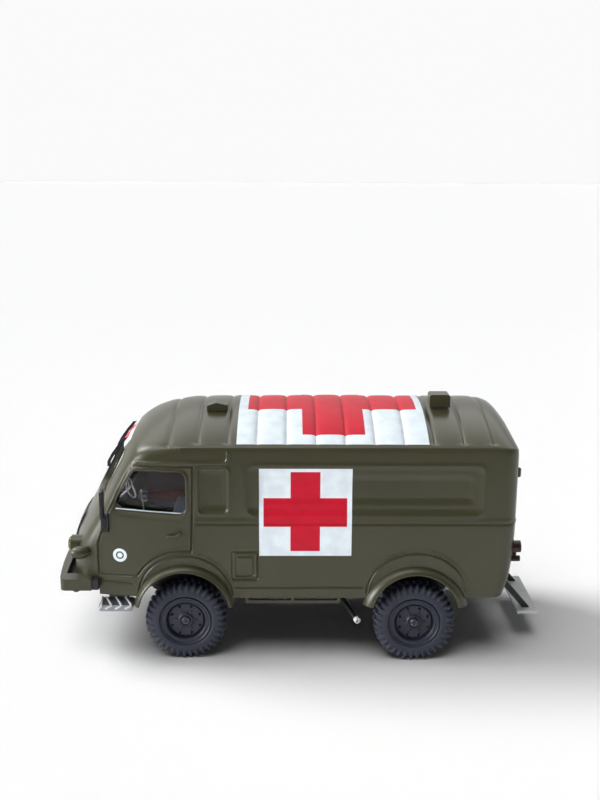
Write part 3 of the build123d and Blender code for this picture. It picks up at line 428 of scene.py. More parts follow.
# windows: their corners or their middle and half sizes, and how round their corners are
DOOR_WINDOW, DOOR_WINDOW_CORNER = ((-0.7, 36.7), (16.4, 37.9), (11.2, 47.1), (-0.7, 46.9)), 1.7
SCREEN, SCREEN_CORNER = (8.0, 43.6, 6.6, 5.8), 2.2
REAR_WINDOW, REAR_WINDOW_CORNER = (8.2, 43.0, 5.5, 3.8), 1.2
# distances to the outlines on the sides (x, z), and on the nose and rear (y, z)
door_window = rounded(DOOR_WINDOW, DOOR_WINDOW_CORNER)
screen = rounded(box_corners(*SCREEN), SCREEN_CORNER)
rear_window = rounded(box_corners(*REAR_WINDOW), REAR_WINDOW_CORNER)
small_panel = rounded(box_corners(-7.0, 42.6, 3.4, 5.4), 1.1)
small_panel_floor = rounded(box_corners(-7.0, 42.6, 2.6, 4.6), 0.8)
long_panel = rounded(box_corners(-41.8, 42.55, 27.0, 5.75), 1.8)
long_panel_floor = rounded(box_corners(-41.9, 42.7, 24.6, 3.3), 1.0)
flap_outer = rounded(box_corners(-14.2, 24.4, 2.95, 3.4), 0.5)
flap_inner = rounded(box_corners(-14.2, 24.2, 1.95, 2.4), 0.4)
DOOR_PATH = ([(20.0, 21.3)] + arch_path(0.0, 12.3, 11.3, 16.5, 26, 97.5)
             + [(-2.5, 48.2), (10.6, 48.2), (12.1, 47.6), (17.4, 36.2), (20.0, 29.0), (20.0, 21.3)])
SILL_PATHS = (((20.0, 20.0), (11.9, 19.5)), ((-12.2, 18.9), (-41.6, 18.9)))
ARCH_CREASES = [arch_path(axle_x, half_length, height, foot_z, 4, 176, 30)
                for axle_x, _, _, _, half_length, height, foot_z in ARCHES]
BELT_START_X = -2.9
DRIP_PATH = ((10.2, 49.1), (-9.0, 49.1), (-10.0, 49.4), (-10.4, 50.2), (-10.4, 52.0))
REAR_MEETING_PATH = ((0.0, 16.5), (0.0, 50.5))
REAR_DOORS_PATH = ((-17.2, 19.0), (-17.2, 49.0), (-15.8, 50.4), (15.8, 50.4), (17.2, 49.0), (17.2, 19.0),
                   (-17.2, 19.0))


def line_cut(distance, width=0.16, depth=0.34, lip=0.16):
    """An engraved line with its edges slightly thrown up, softened by the enamel."""
    return -depth * np.exp(-((distance / width) ** 2)) + lip * np.exp(-(((distance - 0.38) / 0.15) ** 2))


def raised(distance, width, height):
    """A soft rib along a line, or with a negative height a soft groove."""
    return height * np.exp(-((distance / width) ** 2))


def slope(distance, width):
    """From 0 outside an outline to 1 once width inside it."""
    t = np.clip(-distance / width, 0, 1)
    return t * t * (3 - 2 * t)


def side_relief(x, z):
    """How far the enamel stands proud of the plain side."""
    d = np.zeros(np.shape(x))
    d -= 0.36 * slope(small_panel(x, z), 0.4)
    d -= 0.2 * slope(small_panel_floor(x, z), 0.4)
    d += raised(np.abs(small_panel(x, z) - 0.25), 0.18, 0.18)
    d -= 0.36 * slope(long_panel(x, z), 0.8)
    d -= 0.34 * slope(long_panel_floor(x, z), 0.6)
    d += raised(np.abs(long_panel(x, z) - 0.3), 0.2, 0.19)
    d += raised(np.abs(long_panel_floor(x, z) - 0.25), 0.17, 0.1)
    d += line_cut(to_path(x, z, DOOR_PATH))
    for path in SILL_PATHS:
        d += line_cut(to_path(x, z, path), 0.16, 0.2, 0.1)
    for outline in (flap_outer, flap_inner):
        d += line_cut(np.abs(outline(x, z)), 0.17, 0.22, 0.14)
    for crease in ARCH_CREASES:
        d += line_cut(to_path(x, z, crease), 0.16, 0.16, 0.18)
    # belt line behind the door, then the drip rail and the window's rolled frame
    d += (x < BELT_START_X) * (raised(z - 35.0, 0.22, 0.22) - raised(z - 34.5, 0.16, 0.2))
    d += raised(to_path(x, z, DRIP_PATH), 0.21, 0.34)
    from_window = door_window(x, z)
    d += raised(np.abs(from_window - 0.3), 0.19, 0.24) - raised(np.abs(from_window - 0.9), 0.3, 0.12)
    # the door's two hinges, as upright beads
    for hinge_x, hinge_z, height in ((20.2, 25.6, 0.3), (20.0, 37.0, 0.25)):
        d += raised(np.hypot(x - hinge_x, (z - hinge_z) * 0.6), 0.5, height)
    return d


def rear_relief(y, z):
    """Lines round and between the rear doors, the belt and the rolled window frames."""
    d = line_cut(to_path(y, z, REAR_DOORS_PATH)) + line_cut(to_path(y, z, REAR_MEETING_PATH))
    d += raised(z - BELT_Z, 0.45, 0.2)
    d += raised(np.abs(rear_window(np.abs(y), z) - 0.35), 0.26, 0.16)
    return d


def nose_relief(y, z):
    """Rolled frames round both screens, and a crease across the nose below them."""
    d = raised(np.abs(screen(np.abs(y), z) - 0.35), 0.26, 0.16)
    d += line_cut(to_path(np.abs(y), z, ((0.0, 36.2), (15.0, 36.2), (18.6, 34.6))), 0.16, 0.12, 0.06)
    return d


def roof_relief(x, y):
    """Shallow domed strips between pressed seams across the roof."""
    seams = (FIRST_SEAM_X - x) / SEAM_PITCH
    part = seams - np.floor(seams)
    dip = 0.44 * np.abs(2 * part - 1) ** 9 + 0.12 * np.abs(2 * part - 1) ** 2
    inside = np.clip((seams + 0.35) / 0.3, 0, 1) * np.clip((LAST_SEAM + 0.35 - seams) / 0.3, 0, 1)
    ends = np.clip((21.3 - np.abs(y)) / 0.5, 0, 1)
    return -dip * inside * ends * ends * (3 - 2 * ends)


def metres(x, y, z):
    """A place in millimetres from the front axle, in the frame's metres."""
    return np.stack(((x + FRONT_X) * MM, y * MM, z * MM), axis=-1)


def to_mesh(name, points, faces, material, body="van", slot=None, stands_for=None):
    """A smooth mesh object in metres that rides on a CAD body, and may stand for a CAD node."""
    mesh = bpy.data.meshes.new(name)
    mesh.from_pydata([tuple(p) for p in points], [], faces)
    mesh.update()
    mesh.materials.append(material)
    made = smooth(name, mesh)
    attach(made, body)
    if stands_for:
        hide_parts(stands_for)


def lattice(rows, columns, closed_rows=False, closed_columns=False, flip=False):
    """Four-sided faces between points that are numbered row by row."""
    faces = []
    for i in range(rows if closed_rows else rows - 1):
        k = (i + 1) % rows
        for j in range(columns if closed_columns else columns - 1):
            m = (j + 1) % columns
            face = (i * columns + j, i * columns + m, k * columns + m, k * columns + j)
            faces.append(face[::-1] if flip else face)
    return faces


WALL_ROWS, ROOF_ROWS = 56, 30
# the roof's rows meet on a spine that ends short of the tail and the brow
SPINE_BACK_X, SPINE_FRONT_X = -71.0, 7.0


def body_grid():
    """Walls from the sill to the roof's edge and the roof up to its spine, as one net round the body."""
    seam = np.full(COLUMNS, 52.0)
    for _ in range(40):
        x, y = half_outline(seam)
        seam = np.clip(roof_height(x, y), 30, 56)
    heights = [np.full(COLUMNS, level) for level in (SILL_Z, 16.95, NOSE_BOTTOM_Z)]
    heights += [NOSE_BOTTOM_Z + (seam - NOSE_BOTTOM_Z) * row / WALL_ROWS for row in range(1, WALL_ROWS + 1)]
    half = [np.stack((*half_outline(z), z), axis=-1) for z in heights]
    edge_row = len(half)
    edge = half[-1]
    spine = np.clip(edge[:, 0], SPINE_BACK_X, SPINE_FRONT_X)
    for row in range(1, ROOF_ROWS + 1):
        t = (row / ROOF_ROWS) ** 1.35
        x = edge[:, 0] + (spine - edge[:, 0]) * t
        y = edge[:, 1] * (1 - t)
        half.append(np.stack((x, y, roof_height(x, y)), axis=-1))
    half = np.array(half)
    mirrored = half[:, ::-1] * (1, -1, 1)
    ring = np.concatenate((half, mirrored[:, 1:-1]), axis=1)
    rows, count = ring.shape[:2]
    faces = [(a, d, c, b) for a, b, c, d in lattice(rows, count, closed_columns=True)]
    return ring.reshape(-1, 3), faces, edge_row, count


# a point belongs to a side or to the nose where its normal leans over this far
SIDEWAYS, NOSEWARD = 0.7, 0.45
NOSE_TOP_Z = WALL_TOP_Z + 0.9


def crisp_distance(co, no):
    """Distance from each point to the nearest line or edge that needs a fine net."""
    x, y, z = co.T
    nx, ny, nz = no.T
    far = 9.0
    side = (np.abs(ny) > SIDEWAYS) & (z < WALL_TOP_Z + 0.2)
    rear = (nx < -SIDEWAYS) & (z < WALL_TOP_Z + 0.2)
    nose = (nx > NOSEWARD) & (z < NOSE_TOP_Z)
    near = np.full(len(x), far)
    u, v = x[side], z[side]
    lines = [to_path(u, v, DOOR_PATH), np.abs(door_window(u, v)), np.abs(small_panel(u, v)),
             np.abs(flap_outer(u, v)), np.abs(flap_inner(u, v)), to_path(u, v, DRIP_PATH),
             np.abs(long_panel(u, v)) + 0.15, np.where(u < BELT_START_X, np.abs(v - BELT_Z), far)]
    lines += [to_path(u, v, path) for path in (*SILL_PATHS, *ARCH_CREASES)]
    lines += [np.abs(np.hypot(u - arch[0], v - ARCH_Z) - arch[1]) for arch in ARCHES]
    near[side] = np.min(lines, axis=0)
    u, v = y[rear], z[rear]
    lines = [to_path(u, v, path) for path in (REAR_MEETING_PATH, REAR_DOORS_PATH)]
    near[rear] = np.min(lines + [np.abs(rear_window(np.abs(u), v))], axis=0)
    near[nose] = np.abs(screen(np.abs(y[nose]), z[nose]))
    return near


def refine(net, reach):
    """Halves the faces that lie within reach of a crisp line."""
    net.normal_update()
    net.faces.ensure_lookup_table()
    centre = np.array([face.calc_center_median() for face in net.faces])
    normal = np.array([face.normal for face in net.faces])
    chosen = np.nonzero(crisp_distance(centre, normal) < reach)[0]
    edges = {edge for i in chosen for edge in net.faces[i].edges}
    bmesh.ops.subdivide_edges(net, edges=list(edges), cuts=1, use_grid_fill=True)


def rounded_outline(points, radius, arc_steps=6):
    """Points round a convex outline with rounded corners, anticlockwise."""
    outline = []
    count = len(points)
    for i in range(count):
        before, corner, after = [Vector(points[(i + k) % count]) for k in (-1, 0, 1)]
        into = (corner - before).normalized()
        out = (after - corner).normalized()
        turn = into.angle(out)
        reach = radius * tan(turn / 2)
        centre = corner - into * reach + Vector((-into.y, into.x)) * radius
        first = atan2(-into.x, into.y)
        for k in range(arc_steps + 1):
            angle = first + turn * k / arc_steps
            outline.append((centre.x + radius * cos(angle), centre.y + radius * sin(angle)))
    return outline


def circle_outline(centre_u, centre_v, radius, steps=72):
    return [(centre_u + radius * cos(2 * pi * k / steps), centre_v + radius * sin(2 * pi * k / steps))
            for k in range(steps)]


# wall and outline of each opening; its place on the nose or rear counts from the middle
OPENINGS = [("side", rounded_outline(DOOR_WINDOW, DOOR_WINDOW_CORNER))]
OPENINGS += [("side", circle_outline(arch[0], ARCH_Z, arch[1])) for arch in ARCHES]
for way in (1, -1):
    for wall, pane, corner in (("nose", SCREEN, SCREEN_CORNER), ("rear", REAR_WINDOW, REAR_WINDOW_CORNER)):
        OPENINGS.append((wall, rounded_outline(box_corners(way * pane[0], *pane[1:]), corner)))


def seen_flat(kind, face):
    """A face's middle in the plane that its wall is drawn in, or nothing where it belongs to another wall."""
    middle, normal = face.calc_center_median(), face.normal
    if kind == "side":
        return (middle.x, middle.z) if abs(normal.y) > 0.6 and middle.z < WALL_TOP_Z - 0.1 else None
    if kind == "roof":
        return (middle.x, middle.y) if normal.z > 0.25 and middle.z > 45 else None
    if kind == "nose":
        return (middle.y, middle.z) if normal.x > 0.35 and middle.x > 5 and middle.z < 53 else None
    return (middle.y, middle.z) if normal.x < -0.6 and middle.z < WALL_TOP_Z - 0.1 else None


def split(net, faces, spot, normal):
    """Splits faces along a plane, and gives those that come out of it."""
    geometry = faces + list({edge for face in faces for edge in face.edges})
    geometry += list({vert for face in faces for vert in face.verts})
    done = bmesh.ops.bisect_plane(net, geom=geometry, dist=2e-3, plane_co=spot, plane_no=normal)
    return [item for item in done["geom"] if isinstance(item, bmesh.types.BMFace)]


# only faces this close to a drawn line are split; a face on another wall counts as far from everything
SCORE_REACH = 0.75
ELSEWHERE = (99, 99)


def score(net, kind, outline):
    """Splits the net along a convex outline drawn on a wall, and gives the faces inside it."""
    edges = [(a, b) for a, b in zip(outline, outline[1:] + outline[:1])
             if hypot(b[0] - a[0], b[1] - a[1]) > 1e-4]
    low = [min(point[i] for point in outline) - 1 for i in (0, 1)]
    high = [max(point[i] for point in outline) + 1 for i in (0, 1)]
    near = {}
    for face in net.faces:
        place = seen_flat(kind, face)
        if place and low[0] < place[0] < high[0] and low[1] < place[1] < high[1]:
            near[face] = place
    for a, b in edges:
        way = (b[0] - a[0], b[1] - a[1])
        length = hypot(*way)
        spot, normal = list(a), [way[1] / length, -way[0] / length]
        for value in (spot, normal):
            value.insert({"side": 1, "roof": 2}.get(kind, 0), 0)
        faces = list(near)
        places = np.array(list(near.values()))
        close = to_segment(places[:, 0], places[:, 1], a, b) < SCORE_REACH
        chosen = [faces[i] for i in np.nonzero(close)[0]]
        for face in chosen:
            del near[face]
        for face in split(net, chosen, spot, normal):
            face.normal_update()
            near[face] = seen_flat(kind, face) or ELSEWHERE
    return [face for face, (u, v) in near.items()
            if all((b[0] - a[0]) * (v - a[1]) - (b[1] - a[1]) * (u - a[0]) > 0 for a, b in edges)]


def cut_openings(net):
    """Opens the windows and wheel arches, and cuts the lower edge higher round the nose."""
    for kind, outline in OPENINGS:
        bmesh.ops.delete(net, geom=score(net, kind, outline), context="FACES")
    low = [face for face in net.faces if face.calc_center_median().z < NOSE_BOTTOM_Z + 0.9]
    for spot, normal in (((NOSE_CUT_X, 0, 0), (1, 0, 0)), ((0, 0, NOSE_BOTTOM_Z), (0, 0, 1))):
        low = split(net, low, spot, normal)
    middles = [(face, face.calc_center_median()) for face in low]
    doomed = [face for face, middle in middles if middle.x > NOSE_CUT_X and middle.z < NOSE_BOTTOM_Z]
    bmesh.ops.delete(net, geom=doomed, context="FACES")


# printed fields: wall, outline, ink; later ones lie on earlier ones
ENAMEL, WHITE, RED = 0, 1, 2
PRINTS = [
    ("side", box_corners(-28.15, 37.27, 10.65, 10.48), WHITE),
    ("side", box_corners(-28.1, 37.45, 3.4, 9.5), RED),
    ("side", box_corners(-28.1, 37.25, 9.6, 3.35), RED),
    ("roof", box_corners(-34.3, 0.0, 21.9, 21.2), WHITE),
    ("roof", box_corners(-34.6, 0.0, 20.05, 7.2), RED),
    ("roof", box_corners(-34.6, 0.0, 7.2, 18.2), RED),
    ("roof", box_corners(14.75, 0.0, 1.8, 11.2), WHITE),
    ("roof", box_corners(14.75, 0.0, 0.55, 6.8), RED),
    ("roof", box_corners(14.75, 0.0, 1.5, 2.2), RED),
    ("side", circle_outline(14.9, 26.4, 1.65, 28), WHITE),
    ("side", circle_outline(14.9, 26.4, 0.95, 20), ENAMEL),
    ("side", circle_outline(14.9, 26.4, 0.62, 16), WHITE),
]


def print_markings(net):
    """Splits the net along every printed edge, so that ink and enamel meet on a crisp line."""
    for kind, outline, ink in PRINTS:
        for face in score(net, kind, list(outline)):
            face.material_index = ink


def enamel_relief(co, no):
    """How far the enamel stands proud anywhere on the body, each wall by its own drawing."""
    x, y, z = co.T
    nx, ny, nz = no.T
    wall = z < WALL_TOP_Z
    side = (np.abs(ny) > SIDEWAYS) & wall
    rear = (nx < -0.75) & wall
    nose = (nx > NOSEWARD) & (z < NOSE_TOP_Z) & ~side
    d = np.zeros(len(x))
    d[side] = side_relief(x[side], z[side])
    d[rear] = rear_relief(y[rear], z[rear])
    corner = wall & (x < BELT_START_X) & ~side & ~rear
    d[corner] = raised(z[corner] - BELT_Z, 0.45, 0.22)
    d[nose] = nose_relief(y[nose], z[nose])
    top = (nz > 0.3) & (z > 46)
    d[top] += roof_relief(x[top], y[top])
    return d


def inward(place):
    """Which way the casting's thickness lies behind a place on the rim of an opening."""
    if abs(place.y) > HALF_WIDTH - 2.6 and place.x < 18:
        return Vector((0, -1 if place.y > 0 else 1, 0))
    return Vector((1 if place.x < -60 else -1, 0, 0))


# smoothing rounds over the rows next to the roof's edge: reach in rows, rounds, from where forward
EDGE_SMOOTHING = [(2, 3, -99.0)] + [(14, 6, 0.5 + 0.8 * step) for step in range(12)]


def soften_roof_edge(net, verts, edge_row, count):
    """Keeps the roof's edge crisp along the sides, and rolls it over softly towards the brow."""
    for reach, rounds, front in EDGE_SMOOTHING:
        rows = range((edge_row - reach) * count, (edge_row + reach + 1) * count)
        soft = [verts[i] for i in rows if verts[i].co.x > front]
        for _ in range(rounds):
            bmesh.ops.smooth_vert(net, verts=soft, factor=0.5, use_axis_x=True, use_axis_y=True,
                                  use_axis_z=True)


def raise_relief(net):
    """Moves each point out or in by the relief that is drawn on its wall."""
    net.normal_update()
    co = np.array([vert.co for vert in net.verts])
    no = np.array([vert.normal for vert in net.verts])
    for vert, place in zip(net.verts, co + no * enamel_relief(co, no)[:, None]):
        vert.co = place


def thicken_rims(net):
    """Gives every opening a crisp rim as deep as the casting is thick."""
    rims = [edge for edge in net.edges if len(edge.link_faces) == 1]
    for edge in rims:
        edge.smooth = False
    for vert in bmesh.ops.extrude_edge_only(net, edges=rims)["geom"]:
        if isinstance(vert, bmesh.types.BMVert):
            vert.co = vert.co + inward(vert.co) * WALL


def body_mesh():
    """The enamelled casting: net, crisp lines, openings, prints, relief, and thickness behind every rim."""
    points, faces, edge_row, count = body_grid()
    net = bmesh.new()
    verts = [net.verts.new(point) for point in points]
    for face in faces:
        net.faces.new([verts[i] for i in face])
    soften_roof_edge(net, verts, edge_row, count)
    bmesh.ops.remove_doubles(net, verts=net.verts[:], dist=0.02)
    bmesh.ops.recalc_face_normals(net, faces=net.faces[:])
    for reach in (0.55, 0.26):
        refine(net, reach)
    cut_openings(net)
    print_markings(net)
    raise_relief(net)
    thicken_rims(net)
    for vert in net.verts:
        vert.co = metres(*vert.co)
    bmesh.ops.recalc_face_normals(net, faces=net.faces[:])
    mesh = bpy.data.meshes.new("body_shell")
    net.to_mesh(mesh)
    net.free()
    return smooth("body_shell", mesh)


# ---------------------------------------------------------------- flared lips of the wheel arches
FLARE_STEPS = 96
# share of the way from root to lip, height over the plain side
FLARE_SECTION = ((0.0, -0.12), (0.02, 0.12), (0.1, 0.5), (0.24, 0.98), (0.42, 1.4), (0.62, 1.7), (0.8, 1.86),
                 (0.93, 1.88), (1.0, 1.76), (1.02, 1.5), (1.02, 0.6), (1.02, -1.3))


def flare_net(arch, side):
    """One arch's lip, swept from its front end over the wheel to its rear end."""
    axle_x, opening, root_z, root = arch[:4]
    root_angle = asin((FLARE_END_Z - root_z) / root)
    lip_angle = asin((FLARE_END_Z - ARCH_Z) / opening)
    points = []
    for i in range(FLARE_STEPS + 1):
        t = i / FLARE_STEPS
        outer = root_angle + (pi - 2 * root_angle) * t
        inner = lip_angle + (pi - 2 * lip_angle) * t
        outer_x, outer_z = axle_x + root * cos(outer), root_z + root * sin(outer)
        inner_x, inner_z = axle_x + opening * cos(inner), ARCH_Z + opening * sin(inner)
        for share, height in FLARE_SECTION:
            points.append(metres(outer_x + (inner_x - outer_x) * share, side * (HALF_WIDTH + height),
                                 outer_z + (inner_z - outer_z) * share))
    row = len(FLARE_SECTION)
    faces = lattice(FLARE_STEPS + 1, row, flip=side < 0)
    for start in (0, FLARE_STEPS * row):
        cap = tuple(range(start, start + row))
        faces.append(cap if (start == 0) == (side < 0) else cap[::-1])
    return points, faces


# ---------------------------------------------------------------- wheels and tyres
TYRE_RADIUS, TYRE_WIDTH = 9.6, 5.2
LUGS, LUG_SLANT = 36, 0.28
# depth from the outer face, radius, height of a lug there
TYRE_SECTION = (
    (0.55, 6.02, 0.0), (0.28, 6.12, 0.0), (0.12, 6.32, 0.0), (0.05, 6.6, 0.0), (0.03, 6.95, 0.0),
    (0.06, 7.3, 0.0), (0.12, 7.6, 0.02), (0.2, 7.85, 0.12), (0.3, 8.1, 0.3), (0.42, 8.35, 0.4),
    (0.56, 8.58, 0.5), (0.74, 8.78, 0.58), (0.98, 8.9, 0.64), (1.3, 8.95, 0.65), (1.7, 8.95, 0.65),
    (2.1, 8.95, 0.65), (2.36, 8.95, 0.62), (2.46, 8.95, 0.1))
# share of a lug's pitch, share of its height
LUG_STEPS = ((0.0, 0.0), (0.05, 0.45), (0.12, 0.95), (0.22, 1.0), (0.34, 1.0), (0.44, 0.95), (0.51, 0.45),
             (0.56, 0.0), (0.78, 0.0))
# depth from the outer face, radius: hub cap, hub ring, dished disc, recess and rim flange, then the barrel
WHEEL_SECTION = (
    (0.22, 0.0), (0.24, 0.3), (0.32, 0.6), (0.5, 0.86), (0.8, 1.0), (0.92, 1.08), (0.92, 1.22), (0.72, 1.3),
    (0.66, 1.42), (0.7, 1.62), (0.95, 1.74), (1.05, 1.9), (1.1, 2.3),
    *[(1.12, radius) for radius in (2.6, 2.9, 3.2, 3.4, 3.55, 3.7, 3.85)],
    (1.14, 4.0), (1.2, 4.15), (1.42, 4.28), (1.62, 4.36), (1.62, 4.44), (1.2, 4.52), (0.62, 4.6),
    (0.42, 4.68), (0.34, 4.84), (0.32, 5.1), (0.34, 5.4), (0.36, 5.58), (0.2, 5.66), (0.12, 5.76),
    (0.1, 5.88), (0.16, 5.96), (0.5, 5.98), (4.4, 5.98), (4.4, 5.2), (1.9, 5.0), (1.9, 0.8))
# how many, radius of their circle, shift round it in shares of their pitch
NUTS, HOLES = (6, 2.3, 0.5), (8, 3.68, 0.0)
SPOT_RADIUS = 0.34
WHEEL_STEPS = 160


def tyre_net(axle, face_y, side):
    """Domed sidewalls with a bead line, and two rows of slanted lugs that wrap over the shoulders."""
    section = [(depth, radius, lift, 0.0) for depth, radius, lift in TYRE_SECTION]
    section += [(TYRE_WIDTH - depth, radius, lift, 0.5) for depth, radius, lift in reversed(TYRE_SECTION)]
    section += [(TYRE_WIDTH - 0.6, 5.99, 0.0, 0.5), (0.6, 5.99, 0.0, 0.0)]
    count = len(section)
    normals = []
    for j in range(count):
        before, after = section[j - 1], section[(j + 1) % count]
        run = Vector((after[0] - before[0], after[1] - before[1]))
        normals.append(Vector((-run.y, run.x)).normalized())
    points = []
    for lug in range(LUGS):
        for share, height in LUG_STEPS:
            for (depth, radius, lift, shift), normal in zip(section, normals):
                slant = LUG_SLANT * (1 - abs(depth - TYRE_WIDTH / 2) / (TYRE_WIDTH / 2))
                angle = 2 * pi / LUGS * (lug + share + slant + shift)
                d = depth + normal.x * lift * height
                r = min(radius + normal.y * lift * height, TYRE_RADIUS - 0.01)
                points.append((axle.x + r * MM * cos(angle), side * (face_y - d * MM),
                               axle.z + r * MM * sin(angle)))
    return points, lattice(LUGS * len(LUG_STEPS), count, closed_rows=True, closed_columns=True, flip=side < 0)


def spot_edge(angle, radius, spots, softness):
    """From 0 outside the nearest of a ring of round spots to 1 once softness inside it."""
    count, circle, shift = spots
    aside = ((angle * count / (2 * pi) + shift) % 1 - 0.5) * 2 * pi / count
    return min(1.0, max(0.0, (SPOT_RADIUS - hypot(radius - circle, radius * aside)) / softness))


def wheel_net(axle, face_y, side):
    """A moulded disc wheel: domed hub cap, six nuts, eight small holes, deep step and rounded flange."""
    points = []
    for i in range(WHEEL_STEPS):
        angle = 2 * pi * i / WHEEL_STEPS
        for depth, radius in WHEEL_SECTION:
            if 1.9 < radius < 2.7:
                depth -= 0.3 * spot_edge(angle, radius, NUTS, 0.14)
            if 3.2 < radius < 4.1:
                depth += 0.5 * spot_edge(angle, radius, HOLES, 0.12)
            points.append((axle.x + radius * MM * cos(angle), side * (face_y - depth * MM),
                           axle.z + radius * MM * sin(angle)))
    return points, lattice(WHEEL_STEPS, len(WHEEL_SECTION), closed_rows=True, flip=side < 0)


def build_wheels():
    for axle_name in ("front", "rear"):
        axle = mid(axle_name + "_axle_pin")
        for side, side_name in SIDES:
            low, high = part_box(f"tyre_{axle_name}_{side_name}")
            face_y = max(abs(low[1]), abs(high[1]))
            body = axle_name + "_wheels"
            for part, net, material, slot in (("tyre", tyre_net, rubber, "tyre_rubber"),
                                              ("wheel", wheel_net, wheel_black, "wheel_plastic")):
                to_mesh(f"{axle_name}_{side_name}_{part}", *net(axle, face_y, side), material, body, slot,
                        f"{part}_{axle_name}_{side_name}")


build_wheels()

shell = body_mesh()
for finish in (olive, white_print, red_print):
    shell.data.materials.append(finish)
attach(shell, "van")
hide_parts("body_casting")
for arch in ARCHES:
    for side, side_name in SIDES:
        to_mesh("arch_lip_" + side_name, *flare_net(arch, side), olive, "van", "olive_paint", "body_casting")


# ---------------------------------------------------------------- small pieces
def capped(rows, columns):
    """Faces of a round bar built from rings: its wall and a cap on either end."""
    last = (rows - 1) * columns
    return lattice(rows, columns, closed_columns=True) + [tuple(range(columns))[::-1],
                                                          tuple(range(last, last + columns))]


def tube(path, radii, steps=14):
    """A rounded bar along a path in millimetres, with its own radius at each point and closed ends."""
    path = [Vector(point) for point in path]
    points = []
    aside = Vector((0.31, 0.2, 0.93))
    for i, point in enumerate(path):
        ahead = (path[min(i + 1, len(path) - 1)] - path[max(i - 1, 0)]).normalized()
        first = ahead.cross(aside).normalized()
        second = ahead.cross(first)
        for k in range(steps):
            angle = 2 * pi * k / steps
            points.append(metres(*(point + radii[i] * (cos(angle) * first + sin(angle) * second))))
    return points, capped(len(path), steps)


def rounded_bar(path, radius, ends=4):
    """A bar of one thickness with hemispherical ends."""
    start, finish = Vector(path[0]), Vector(path[-1])
    into, out = (Vector(path[1]) - start).normalized(), (finish - Vector(path[-2])).normalized()
    turns = [pi / 2 * k / ends for k in range(1, ends + 1)]
    head = [start - into * radius * cos(a) for a in turns[:-1]]
    tail = [finish + out * radius * cos(a) for a in reversed(turns[:-1])]
    sizes = [radius * sin(a) for a in turns[:-1]]
    return tube(head + [Vector(p) for p in path] + tail, sizes + [radius] * len(path) + sizes[::-1])


def joined(nets):
    """Several nets as one."""
    points, faces = [], []
    for net_points, net_faces in nets:
        first = len(points)
        points += list(net_points)
        faces += [tuple(first + i for i in face) for face in net_faces]
    return points, faces


def slab(outline, place, thickness, bevel=0.25, steps=3):
    """A flat plate with rolled edges: place turns an outline point and a depth into millimetres."""
    turns = [pi / 2 * k / steps for k in range(steps + 1)]
    rings = [(bevel * (1 - cos(turn)), bevel * (1 - sin(turn))) for turn in turns]
    rings += [(thickness - depth, inset) for depth, inset in reversed(rings)]
    count = len(outline)
    middle = Vector((sum(p[0] for p in outline) / count, sum(p[1] for p in outline) / count))
    points = []
    for depth, inset in rings:
        for u, v in outline:
            away = Vector((u, v)) - middle
            away *= max(0.0, 1 - inset / away.length)
            points.append(metres(*place(middle.x + away.x, middle.y + away.y, depth)))
    return points, capped(len(rings), count)


# the cab's step: its middle, half length, top, inner and outer edge, and the pitch of its ribs
STEP_X, STEP_HALF, STEP_TOP_Z, STEP_INNER_Y, STEP_OUTER_Y, STEP_RIB_PITCH = 16.0, 4.0, 14.55, 17.9, 22.7, 2.3
STEP_MIDDLE_Y = (STEP_INNER_Y + STEP_OUTER_Y) / 2


def build_step(side, side_name):
    """Ribbed step hung below the cab: silver chevron ribs that fold over its outer edge, on a plate painted
    dark grey as the shade between and under them.
    """
    plate = slab(rounded_outline(box_corners(STEP_X, STEP_MIDDLE_Y, STEP_HALF, 2.4), 0.9),
                 lambda u, v, depth: (u, side * v, STEP_TOP_Z - depth), 0.95, 0.15)
    skirt = slab(rounded_outline(box_corners(STEP_X, STEP_TOP_Z - 0.75, STEP_HALF, 0.75), 0.6),
                 lambda u, v, depth: (u, side * (STEP_OUTER_Y + 0.05 - depth), v), 0.4, 0.12)
    hanger = slab(box_corners(STEP_X, 15.6, 2.4, 1.3),
                  lambda u, v, depth: (u, side * (17.6 - depth), v), 0.9, 0.1)
    ribs = []
    edge_x = STEP_X + STEP_HALF - 0.2
    edge_y = side * (STEP_OUTER_Y + 0.02)
    for rib in range(4):
        x = STEP_X - 3.6 + rib * STEP_RIB_PITCH
        ribs.append(rounded_bar([(min(x + 1.9, edge_x), side * (STEP_INNER_Y + 0.4), STEP_TOP_Z + 0.08),
                                 (x + 0.15, side * (STEP_OUTER_Y - 0.25), STEP_TOP_Z + 0.08),
                                 (x, edge_y, STEP_TOP_Z - 0.15),
                                 (min(x + 1.3, edge_x), edge_y, STEP_TOP_Z - 0.8)], 0.26))
    # the plate and its hanger carry the painted shade under the ribs
    for name, net, finish in (("step_plate_", joined((plate, hanger)), tread_painted_shade),
                              ("step_skirt_", skirt, silver), ("step_ribs_", joined(ribs), silver_paint)):
        to_mesh(name + side_name, *net, finish, "van", "tread_metal", "front_steps")


# the door handle's lever: distance ahead of the axle, rise over its grip, radius
LEVER = ((3.75, 0.0, 0.02), (3.65, 0.0, 0.2), (3.4, 0.0, 0.3), (2.2, 0.0, 0.24), (1.4, 0.15, 0.3),
         (0.9, 0.5, 0.42), (0.5, 0.85, 0.4), (0.35, 0.95, 0.24), (0.28, 1.0, 0.02))
HANDLE_Z = 31.6


def build_handle(side, side_name):
    """Slim lever that thickens and rises at its pivot."""
    y = side * (HALF_WIDTH + 0.8)
    lever = tube([(x, y, HANDLE_Z + rise) for x, rise, _ in LEVER], [radius for _, _, radius in LEVER])
    stalk = tube([(0.75, side * (HALF_WIDTH - 0.1), HANDLE_Z + 0.4), (0.75, y, HANDLE_Z + 0.45)], [0.45, 0.3])
    to_mesh("door_lever_" + side_name, *joined((lever, stalk)), olive, "van", "olive_plastic", "door_handles")


